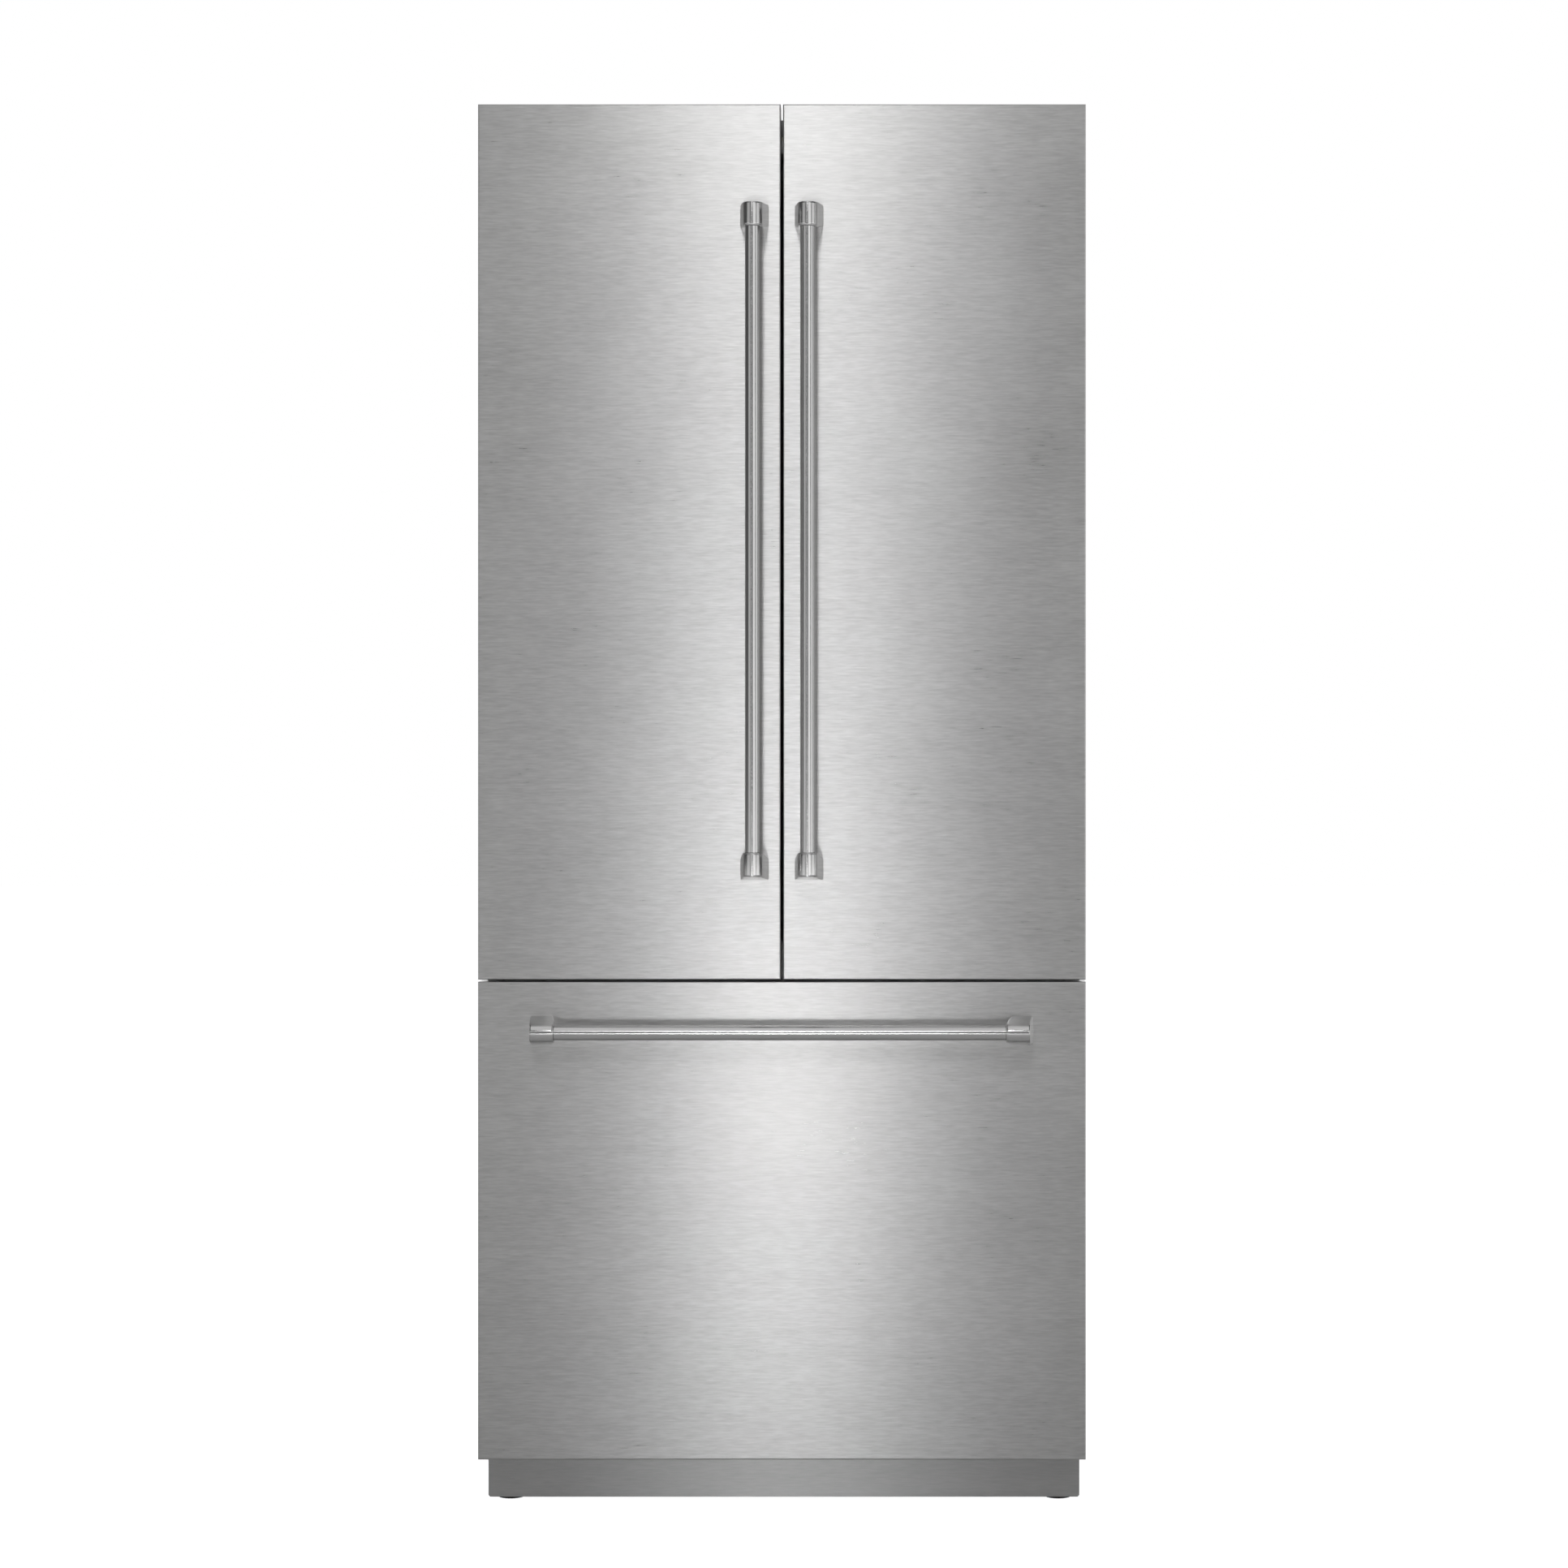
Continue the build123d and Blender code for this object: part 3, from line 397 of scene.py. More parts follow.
@dataclass(frozen=True)
class MouldedPlastic:
    """Opaque moulded plastic with a light texture."""

    name: str
    colour: Triple
    roughness: float = 0.38
    grain_size: float = 0.0009
    grain_depth: float = 0.00005

    def material(self) -> Material:
        """Build the material: spark-eroded texture and a slight unevenness of colour.

        Returns:
            The material.
        """
        shader = Shader(self.name)
        texture = shader.cloud(1 / self.grain_size, 1.0)
        cloud = shader.cloud(4, 3.0)
        low = tuple(part * 0.94 for part in self.colour)
        high = tuple(min(part * 1.03, 1.0) for part in self.colour)
        return shader.surface(
            Base_Color=shader.between(cloud * 0.7 + texture * 0.3, low, high),
            Roughness=self.roughness - 0.05 + texture * 0.08 + cloud * 0.04,
            Normal=shader.bump(texture, self.grain_depth, 0.5),
        )


@dataclass(frozen=True)
class ClearPlastic:
    """Clear or frosted plastic of bins and drawers."""

    name: str
    colour: Triple
    alpha: float
    roughness: float = 0.12

    def material(self) -> Material:
        """Build the material: flow marks in the gloss and a little haze.

        Returns:
            The material.
        """
        shader = Shader(self.name)
        flow = shader.noise(shader.place((12, 12, 40)), 3.0)
        return shader.surface(
            Base_Color=shader.between(flow, tuple(part * 0.93 for part in self.colour), self.colour),
            Roughness=self.roughness + flow * 0.10,
            Alpha=self.alpha - 0.05 + flow * 0.10,
            Normal=shader.bump(flow, 0.0004, 0.25),
        )


@dataclass(frozen=True)
class SoftRubber:
    """Dull rubber or soft vinyl."""

    name: str
    level: float
    roughness: float = 0.66
    gloss: float = 0.5

    def material(self) -> Material:
        """Build the material: fine pores and a dusty sheen.

        Returns:
            The material.
        """
        shader = Shader(self.name)
        pores = shader.cloud(900, 2.0)
        dust = shader.cloud(14, 3.0)
        return shader.surface(
            Base_Color=shader.between(dust, grey(self.level * 0.8), grey(self.level * 1.25)),
            Roughness=self.roughness - 0.06 + dust * 0.14,
            Specular_IOR_Level=self.gloss,
            Normal=shader.bump(pores, 0.00008, 0.5),
        )


@dataclass(frozen=True)
class FoamCore:
    """Poured rigid foam with small cells."""

    name: str

    def material(self) -> Material:
        """Build the material: pale cells with a fine rough surface.

        Returns:
            The material.
        """
        shader = Shader(self.name)
        cells = shader.cells(shader.place(), 900.0)
        cloud = shader.cloud(10, 4.0)
        return shader.surface(
            Base_Color=shader.between(cells * 0.4 + cloud * 0.6, (0.72, 0.68, 0.56), (0.86, 0.83, 0.72)),
            Roughness=0.86,
            Normal=shader.bump(cells, 0.0003, 0.7),
        )


@dataclass(frozen=True)
class Finishes:
    """Every finish of the refrigerator, made once."""

    materials: dict[str, Material]

    @classmethod
    def make(cls) -> "Finishes":
        """Build all finishes, each stored under its own name.

        Returns:
            The finishes.
        """
        wide_spread = {"spread": 0.9, "spread_turn": 0.25}
        long_scratches = {"scratch_depth": 0.000006, "hairline_rates": (3, 1300), "streak_rates": (4, 430)}
        finishes = [
            BrushedSteel("front_steel", Grain.ALONG_X, 0.51, 0.30, contrast=0.16, **wide_spread),
            BrushedSteel("plinth_steel", Grain.ALONG_X, 0.45, 0.33, **wide_spread),
            BrushedSteel("upright_bar_steel", Grain.ALONG_Z, 0.66, 0.18, **long_scratches),
            BrushedSteel("level_bar_steel", Grain.ALONG_X, 0.66, 0.18, **long_scratches),
            PaintedSheet("cabinet_paint", 0.20),
            PaintedSheet("compressor_paint", 0.012, 0.32),
            ZincSheet("zinc"),
            MouldedPlastic("liner_plastic", (0.80, 0.81, 0.81), 0.30),
            MouldedPlastic("trim_plastic", (0.52, 0.53, 0.54), 0.34),
            MouldedPlastic("mullion_plastic", (0.045, 0.046, 0.048), 0.40),
            MouldedPlastic("black_plastic", (0.018, 0.018, 0.019), 0.50),
            MouldedPlastic("cover_plastic", (0.10, 0.10, 0.105), 0.42),
            MouldedPlastic("button_plastic", (0.60, 0.62, 0.64), 0.28),
            ClearPlastic("bin_plastic", (0.86, 0.92, 0.95), 0.38),
            ClearPlastic("lamp_lens", (0.95, 0.96, 0.92), 0.80, 0.35),
            ClearPlastic("shelf_glass", (0.72, 0.86, 0.82), 0.30, 0.04),
            SoftRubber("seal_rubber", 0.30),
            SoftRubber("foot_rubber", 0.007, gloss=0.12),
            ZincSheet("fin_aluminium", 0.75),
            FoamCore("foam"),
        ]
        return cls({finish.name: finish.material() for finish in finishes})

    def dress(self, piece: Piece, finish: str) -> None:
        """Give a piece one finish in all its material slots.

        Args:
            piece: The piece to dress.
            finish: The name of its finish.
        """
        material = self.materials[finish]
        if not piece.material_slots:
            piece.data.materials.append(material)
        for material_slot in piece.material_slots:
            material_slot.material = material


# ---- surfaces


def grid_faces(rows: int, columns: int, closed: bool, wrapped: bool = False) -> np.ndarray:
    """Join neighbouring points of a grid into quads.

    Args:
        rows: Number of loops.
        columns: Number of points in each loop.
        closed: True if the last point of a loop joins its first.
        wrapped: True if the last loop joins the first.

    Returns:
        Face corners, four to a row, with outward normals for loops that turn left and rise.
    """
    spans = columns if closed else columns - 1
    steps = rows if wrapped else rows - 1
    row, column = np.meshgrid(np.arange(steps), np.arange(spans), indexing="ij")
    across = (column + 1) % columns
    above = (row + 1) % rows
    corners = (
        row * columns + column,
        row * columns + across,
        above * columns + across,
        above * columns + column,
    )
    return np.stack(corners, axis=-1).reshape(-1, 4)


def rounded_loops(half_x: np.ndarray, half_y: np.ndarray, radius: np.ndarray, steps: int) -> np.ndarray:
    """Rounded rectangles: each corner's centre plus its radius turned through a quarter circle.

    Args:
        half_x: Half widths of the loops.
        half_y: Half depths of the loops.
        radius: Corner radii of the loops.
        steps: Points on each corner.

    Returns:
        Points as (loop, point, 2), turning left, four corners one after another.
    """
    turn = np.linspace(0, math.pi / 2, steps)
    angles = np.concatenate([turn + quarter * math.pi / 2 for quarter in range(4)])
    sign_x = np.repeat([1, -1, -1, 1], steps)
    sign_y = np.repeat([1, 1, -1, -1], steps)
    hx, hy, r = (np.asarray(part, float)[:, None] for part in (half_x, half_y, radius))
    r = np.minimum(r, np.minimum(hx, hy) * 0.999)
    x = sign_x * (hx - r) + r * np.cos(angles)
    y = sign_y * (hy - r) + r * np.sin(angles)
    return np.stack((x, y), axis=-1)


def stacked_loops(
    outline: tuple[Sequence[float], Sequence[float]],
    inset: np.ndarray,
    level: np.ndarray,
    corner: np.ndarray,
    steps: int,
    axis: int = 2,
) -> np.ndarray:
    """Rounded rectangles one over another: each is the outline, drawn in by its inset, at its level.

    Args:
        outline: Limits on the two axes that the rectangles lie on.
        inset: How far each loop is drawn in.
        level: Where each loop lies on the third axis.
        corner: Each loop's corner radius.
        steps: Points on each corner.
        axis: The number of the third axis.

    Returns:
        Points as (loop, point, 3).
    """
    halves = [(high - low) / 2 - inset for low, high in outline]
    loops = rounded_loops(halves[0], halves[1], corner, steps)
    points = np.empty(loops.shape[:2] + (3,))
    for index, flat_axis in enumerate(other for other in range(3) if other != axis):
        points[..., flat_axis] = sum(outline[index]) / 2 + loops[..., index]
    points[..., axis] = level[:, None]
    return points


def make_piece(name: str, points: np.ndarray, faces: list[list[int]], smooth: bool = True) -> Piece:
    """Make a mesh object at the origin from points and faces.

    Args:
        name: The piece's name.
        points: Points in the row frame, in metres.
        faces: Corners of each face.
        smooth: True to shade smooth over all edges below the sharp angle.

    Returns:
        The new object, linked to the scene.
    """
    mesh = bpy.data.meshes.new(name)
    mesh.from_pydata(points.reshape(-1, 3).tolist(), [], faces)
    mesh.validate()
    piece = bpy.data.objects.new(name, mesh)
    bpy.context.scene.collection.objects.link(piece)
    if smooth:
        mesh.shade_smooth()
        mesh.set_sharp_from_angle(angle=SHARP_ANGLE)
    return piece


@dataclass
class Loft:
    """A closed skin through loops of points: a flat cap at each end, or the last loop joined to the first."""

    loops: np.ndarray
    wrapped: bool = False

    def faces(self, offset: int) -> list[list[int]]:
        """Return the skin's faces with corner numbers that start at offset.

        Args:
            offset: Number of the first point.

        Returns:
            Corners of each face.
        """
        rows, columns = self.loops.shape[:2]
        found = (grid_faces(rows, columns, True, self.wrapped) + offset).tolist()
        if not self.wrapped:
            last = offset + (rows - 1) * columns
            found.append(list(range(offset + columns - 1, offset - 1, -1)))
            found.append(list(range(last, last + columns)))
        return found


def correct_normals(piece: Piece) -> None:
    """Turn every face of a closed piece outwards.

    Args:
        piece: The piece to turn.
    """
    work = bmesh.new()
    work.from_mesh(piece.data)
    bmesh.ops.recalc_face_normals(work, faces=work.faces)
    work.to_mesh(piece.data)
    work.free()


def piece_from_lofts(name: str, lofts: Sequence[Loft]) -> Piece:
    """Join several closed lofts into one piece.

    Args:
        name: The piece's name.
        lofts: The skins to join.

    Returns:
        The piece, with its faces outwards.
    """
    faces: list[list[int]] = []
    offset = 0
    for loft in lofts:
        faces += loft.faces(offset)
        offset += loft.loops.shape[0] * loft.loops.shape[1]
    points = np.concatenate([loft.loops.reshape(-1, 3) for loft in lofts])
    piece = make_piece(name, points, faces)
    correct_normals(piece)
    return piece


def circle(steps: int) -> np.ndarray:
    """Return angles evenly spaced round a circle."""
    return np.linspace(0, 2 * math.pi, steps, endpoint=False)


def revolved(reach: np.ndarray, turn: np.ndarray, middle: Sequence[float], height: np.ndarray) -> np.ndarray:
    """Points round an upright axis: its place plus the reach times the cosine and sine of the turn.

    Args:
        reach: Distances from the axis, by loop and by turn.
        turn: Angles of the points round a loop.
        middle: The axis's place, x and y first.
        height: The height of each loop.

    Returns:
        Points as (loop, point, 3).
    """
    x = middle[0] + reach * np.cos(turn)
    y = middle[1] + reach * np.sin(turn)
    return np.stack((x, y, height[:, None] + 0 * x), axis=-1)


@dataclass
class SubAssembly:
    """Something that builds its own pieces and gives them their finishes."""

    finishes: Finishes

    def carried(self, piece: Piece, node: str, finish: str) -> Piece:
        """Dress a piece and let it go with a CAD node.

        Args:
            piece: The new piece.
            node: The CAD node whose body it takes; its material slot is only looked up, not given to the piece.
            finish: The name of its finish.

        Returns:
            The same piece.
        """
        self.finishes.dress(piece, finish)
        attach(piece, body_of_node(node))
        slot_of_node(node)
        return piece

    def attached(self, node: str, suffix: str, lofts: Sequence[Loft], finish: str) -> Piece:
        """Add a piece beside those of a CAD node, named after it and with the suffix, and return it."""
        return self.carried(piece_from_lofts(f"{node}_{suffix}", lofts), node, finish)

    def fitted(self, node: str, suffix: str, lofts: Sequence[Loft], finish: str) -> Piece:
        """Make a piece as attached() does, and let it stand for its CAD node.

        Args:
            node: The CAD node that it replaces.
            suffix: What is added to the node's name.
            lofts: The piece's skins.
            finish: The name of its finish.

        Returns:
            The piece.
        """
        piece = self.attached(node, suffix, lofts, finish)
        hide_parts(node)
        return piece


# ---- handles


@dataclass
class HandleShape:
    """Sizes of one bar handle, measured along the bar and out from the front."""

    standoff: float = 0.0605
    projection: float = 0.075
    foot_width: float = 0.043
    foot_length: float = 0.033
    overhang: float = 0.008
    neck: float = 0.046
    mitre: float = 0.0073
    collar_radius: float = 0.0145
    bar_radius: float = 0.011
    rim_tuck: float = 0.002
    edge_radius: float = 0.0026
    foot_bevel: float = 0.0008
    bevel_depth: float = 0.0012
    shaft_start: float = 0.004
    seam_depth: float = 0.0006
    seam_width: float = 0.0008
    tuck: float = 0.006
    bead_radius: float = 0.0011
    facets: int = 64

    def half_width(self, out: np.ndarray) -> np.ndarray:
        """Half the post's width: a straight flank to its touch point, then the collar's circle.

        Args:
            out: Distances out from the front.

        Returns:
            Half the width at each distance.
        """
        half = self.foot_width / 2
        reach = math.hypot(half, self.standoff)
        angle = math.acos(self.collar_radius / reach) - math.atan2(self.standoff, half)
        touch_out = self.standoff + self.collar_radius * math.sin(angle)
        touch_half = self.collar_radius * math.cos(angle)
        flank = half + (touch_half - half) * out / touch_out
        collar = np.sqrt(np.maximum(self.collar_radius**2 - (out - self.standoff) ** 2, 0.0))
        return np.where(out < touch_out, flank, collar)

    def post(self) -> np.ndarray:
        """The post's loops from foot to front, each a rounded rectangle.

        The outer end leans in by the mitre over the projection. The inner end leans out by the
        overhang up to the neck and is straight from there.

        Returns:
            Points as (across, out, along).
        """
        foot = np.array([0.0, self.bevel_depth])
        shaft = np.linspace(self.shaft_start, self.standoff, 12)
        crown = self.standoff + self.collar_radius * np.sin(np.linspace(0.1, math.pi / 2 - 0.02, 16))
        out = np.concatenate((foot, shaft, crown))
        half = self.half_width(out)
        half[0] -= self.foot_bevel
        low = self.mitre * out / self.projection
        high = self.foot_length + self.overhang * np.minimum(out / self.neck, 1.0)
        middle, half_along = (low + high) / 2, (high - low) / 2
        half_along[0] -= self.foot_bevel
        radius = np.minimum(self.edge_radius, 0.8 * half)
        loops = rounded_loops(half, half_along, radius, 6)
        along = loops[..., 1] + middle[:, None]
        return np.stack((loops[..., 0], out[:, None] + 0 * along, along), axis=-1)

    def turned(self, profile: np.ndarray) -> np.ndarray:
        """Turn (radius, along) pairs about the bar's axis, which is the standoff out."""
        return revolved(profile[:, :1], circle(self.facets), (0, self.standoff), profile[:, 1])

    def bar(self, total: float) -> np.ndarray:
        """Return the bar's loops: a dark seam, then the plain round bar between the collars.

        Args:
            total: The handle's length from end to end.

        Returns:
            Points as (across, out, along).
        """
        start = self.foot_length + self.overhang
        inside = start - self.tuck
        steps = [
            (self.bar_radius - self.seam_depth, inside),
            (self.bar_radius - self.seam_depth, start + self.seam_width),
            (self.bar_radius, start + 2 * self.seam_width),
        ]
        profile = steps + [(radius, total - along) for radius, along in reversed(steps)]
        return self.turned(np.array(profile))

    def rim(self) -> np.ndarray:
        """Return the raised ring at a collar's inner end, a small turned bead.

        Returns:
            Points as (across, out, along).
        """
        end = self.foot_length + self.overhang
        turn = np.linspace(0, math.pi, 9)
        bead = self.bead_radius
        radius = self.collar_radius - bead + bead * np.sin(turn)
        along = end - bead * np.cos(turn)
        profile = np.column_stack((radius, along))
        close = [(self.bar_radius, profile[-1, 1]), (self.bar_radius, profile[0, 1] - self.rim_tuck)]
        return self.turned(np.vstack((profile, close)))


class Hand(Enum):
    """The side that a piece belongs to, or the drawer."""

    LEFT = "left"
    RIGHT = "right"
    DRAWER = "drawer"


@dataclass
class BarHandle(SubAssembly):
    """One handle: two faceted posts with their rims, and the round bar between them."""

    hand: Hand
    shape: HandleShape

    def nodes(self) -> tuple[str, str]:
        """Return the names of the CAD bar and posts that the handle stands for.

        Returns:
            The two names.
        """
        if self.hand is Hand.DRAWER:
            return ("drawer_handle_bar", "drawer_handle_posts")
        return (f"handle_bar_{self.hand.value}", f"handle_posts_{self.hand.value}")

    def placed(self, local: np.ndarray) -> np.ndarray:
        """Turn (across, out, along) points into the row frame, where out is towards -Y.

        Args:
            local: Points measured from the handle.

        Returns:
            Points in the row frame.
        """
        box = NodeBox.of(self.nodes()[1])
        face = box.y[1]
        across, out, along = local[..., 0], local[..., 1], local[..., 2]
        if self.hand is Hand.DRAWER:
            return np.stack((box.x[0] + along, face - out, box.middle()[2] + across), axis=-1)
        return np.stack((box.middle()[0] + across, face - out, box.z[0] + along), axis=-1)

    def total(self) -> float:
        """Return the handle's length from end to end."""
        box = NodeBox.of(self.nodes()[1])
        return box.x[1] - box.x[0] if self.hand is Hand.DRAWER else box.z[1] - box.z[0]

    def both_ends(self, local: np.ndarray) -> list[Loft]:
        """Return a loft at each end of the handle, the far one mirrored along the bar."""
        far = local * np.array([1, 1, -1]) + np.array([0, 0, self.total()])
        return [Loft(self.placed(local)), Loft(self.placed(far)[:, ::-1])]

    def build(self) -> list[Piece]:
        """Build and dress the posts, rims and bar.

        Returns:
            The new pieces.
        """
        bar_node, post_node = self.nodes()
        steel = "level_bar_steel" if self.hand is Hand.DRAWER else "upright_bar_steel"
        return [
            self.fitted(post_node, "faceted", self.both_ends(self.shape.post()), steel),
            self.attached(post_node, "rims", self.both_ends(self.shape.rim()), steel),
            self.fitted(bar_node, "round", [Loft(self.placed(self.shape.bar(self.total())))], steel),
        ]


# ---- seals


@dataclass
class Gasket(SubAssembly):
    """A soft magnetic seal: bellows folds under a magnet pocket, run around a rounded frame."""

    node: str
    width: float = 0.014
    corner: float = 0.009
    corner_steps: int = 6
    least_corner: float = 0.0008

    def profile(self) -> np.ndarray:
        """The section: two bellows folds on each side under the magnet's pocket.

        Returns:
            Pairs of inset and height, as shares of its width and depth.
        """
        return np.array([
            (0.00, 0.00), (0.06, 0.12), (0.16, 0.24), (0.06, 0.36), (0.00, 0.48), (0.08, 0.60),
            (0.02, 0.70), (0.02, 0.90), (0.12, 1.00), (0.88, 1.00), (0.98, 0.90), (0.98, 0.70),
            (0.92, 0.60), (1.00, 0.48), (0.94, 0.36), (0.84, 0.24), (0.94, 0.12), (1.00, 0.00),
        ])

    def build(self) -> list[Piece]:
        """Sweep the section around the door: each section point gives one rounded rectangle.

        Returns:
            The seal.
        """
        box = NodeBox.of(self.node)
        section = self.profile()
        inset = section[:, 0] * self.width
        corner = np.maximum(self.corner - inset, self.least_corner)
        level = box.y[0] + section[:, 1] * (box.y[1] - box.y[0])
        points = stacked_loops((box.x, box.z), inset, level, corner, self.corner_steps, 1)
        return [self.fitted(self.node, "bellows", [Loft(points, wrapped=True)], "seal_rubber")]


# ---- bins, drawers and pans


@dataclass
class Shell:
    """An open vessel: a wall profile from the middle of its foot, up, over the rim and down inside."""

    x: Pair
    y: Pair
    z: Pair
    wall: float = 0.003
    corner: float = 0.020
    foot: float = 0.010
    draft: float = 0.004
    rim: float = 0.0022
    rim_depth: float = 0.007
    steps: int = 7

    def profile(self) -> tuple[np.ndarray, np.ndarray]:
        """The wall, from the foot's outside over the rim to the foot's inside.

        The foot's round edge is a quarter circle, the wall leans out by the draft, and the rim
        is a bead with a rounded top. The inside follows one wall thickness in.

        Returns:
            Inset and height of each loop.
        """
        height = self.z[1] - self.z[0]
        turn = np.linspace(0, math.pi / 2, 6)
        outer_foot = np.column_stack((
            self.rim + self.draft + self.foot * (1 - np.sin(turn)), self.foot * (1 - np.cos(turn)),
        ))
        under_rim = [(self.rim, height - self.rim_depth), (0.0004, height - self.rim_depth + 0.0008)]
        crown = [(0.0, height - 0.0020), (0.0006, height - 0.0006), (0.0018, height)]
        inner_top = [(self.rim + self.wall - 0.0008, height), (self.rim + self.wall, height - 0.001)]
        inner_radius = max(self.foot - self.wall, 0.002)
        inner_foot = np.column_stack((
            self.rim + self.draft + self.wall + inner_radius * (1 - np.cos(turn)),
            self.wall + inner_radius * (1 - np.sin(turn)),
        ))
        points = np.vstack((outer_foot, under_rim, crown, inner_top, inner_foot))
        return points[:, 0], points[:, 1]

    def loops(self, inset: np.ndarray, level: np.ndarray) -> np.ndarray:
        """Return the vessel's outline at some insets and levels, its corners drawn in with it."""
        corner = np.maximum(self.corner - inset, LEAST_CORNER)
        return stacked_loops((self.x, self.y), inset, level, corner, self.steps)

    def loft(self) -> Loft:
        """Return the vessel's skin, with its floor inside and out as the caps."""
        inset, height = self.profile()
        return Loft(self.loops(inset, self.z[0] + height))

    def band(self, depth: float, thickness: float, drop: float) -> Loft:
        """Return a thin trim strip around the outside, just under the rim.

        Args:
            depth: The strip's height.
            thickness: How far it stands off the wall.
            drop: How far its top lies under the rim's top.

        Returns:
            The strip as a closed ring.
        """
        low, high = self.z[1] - drop - depth, self.z[1] - drop
        level = np.array([low, low + 0.001, high - 0.001, high, high - 0.001, low + 0.001])
        outer, inner = 0.0002, self.rim + 0.0008
        inset = np.array([inner, outer, outer, inner, inner + thickness, inner + thickness])
        return Loft(self.loops(inset, level), wrapped=True)


def rounded_bar(low: Sequence[float], high: Sequence[float], axis: int, radius: float) -> Loft:
    """A bar along one axis with a rounded section and softened ends.

    Args:
        low: Its lowest corner.
        high: Its highest corner.
        axis: The axis it runs along, 0, 1 or 2.
        radius: Radius of its long edges.

    Returns:
        The bar's skin: rounded rectangles carried along the axis, smaller at the ends.
    """
    soften = radius * 0.5
    inset = np.array([soften, 0.0, 0.0, soften])
    along = np.array([low[axis], low[axis] + soften, high[axis] - soften, high[axis]])
    outline = [(low[index], high[index]) for index in range(3) if index != axis]
    return Loft(stacked_loops(outline, inset, along, np.full(4, radius), 5, axis))


@dataclass
class DoorBins(SubAssembly):
    """The three clear bins of one door, each with a steel trim strip."""

    hand: Hand
    levels: tuple[float, ...] = (0.880, 1.240, 1.610)
    height: float = 0.110
    trim_depth: float = 0.014
    trim_thickness: float = 0.0012
    trim_drop: float = 0.010

    def build(self) -> list[Piece]:
        """Build the bins and their trims.

        Returns:
            The bins and the trims, one piece each.
        """
        node = f"door_bins_{self.hand.value}"
        box = NodeBox.of(node)
        shells = [
            Shell(box.x, box.y, (level, level + self.height), corner=0.024, foot=0.014, draft=0.006)
            for level in self.levels
        ]
        bands = [shell.band(self.trim_depth, self.trim_thickness, self.trim_drop) for shell in shells]
        return [
            self.fitted(node, "moulded", [shell.loft() for shell in shells], "bin_plastic"),
            self.attached(node, "trims", bands, "level_bar_steel"),
        ]


@dataclass
class Crisper(SubAssembly):
    """A clear produce drawer with a rounded pull along its front."""

    hand: Hand
    pull: Triple = (0.070, 0.006, 0.006)
    pull_drop: float = 0.026
    pull_edge: float = 0.0026
    pull_root: float = 0.004

    def build(self) -> list[Piece]:
        """Build the drawer and its pull as one piece.

        Returns:
            The drawer.
        """
        node = f"crisper_{self.hand.value}"
        box = NodeBox.of(node)
        front = box.y[0] + self.pull[1]
        shell = Shell(box.x, (front, box.y[1]), box.z, corner=0.016, foot=0.012, draft=0.005)
        middle = sum(box.x) / 2
        low = (middle - self.pull[0], box.y[0], box.z[1] - self.pull_drop)
        high = (middle + self.pull[0], front + self.pull_root, box.z[1] - self.pull_drop + self.pull[2])
        lofts = [shell.loft(), rounded_bar(low, high, 0, self.pull_edge)]
        return [self.fitted(node, "moulded", lofts, "bin_plastic")]


@dataclass
class FreezerTray(SubAssembly):
    """The upper freezer tray: a moulded vessel with a runner flange at each side."""

    node: str = "freezer_tray"
    flange: float = 0.004
    flange_edge: float = 0.0016
    flange_lap: float = 0.001
    end_gap: float = 0.02
    half_width: float = 0.370

    def build(self) -> list[Piece]:
        """Build the tray and its flanges as one piece.

        Returns:
            The tray.
        """
        box = NodeBox.of(self.node)
        shell = Shell((-self.half_width, self.half_width), box.y, box.z, corner=0.022, foot=0.016)
        lofts = [shell.loft()]
        for side in (-1, 1):
            near, far = sorted((side * (self.half_width - self.flange_lap), side * box.x[1]))
            low = (near, box.y[0] + self.end_gap, box.z[1] - self.flange)
            high = (far, box.y[1] - self.end_gap, box.z[1])
            lofts.append(rounded_bar(low, high, 1, self.flange_edge))
        return [self.fitted(self.node, "moulded", lofts, "liner_plastic")]


@dataclass
class DrainPan(SubAssembly):
    """The defrost pan over the compressor side of the machine space."""

    node: str = "drain_pan"

    def build(self) -> list[Piece]:
        """Build the pan.

        Returns:
            The pan.
        """
        box = NodeBox.of(self.node)
        shell = Shell(box.x, box.y, box.z, wall=0.002, corner=0.014, foot=0.008)
        return [self.fitted(self.node, "moulded", [shell.loft()], "black_plastic")]


# ---- feet and rollers


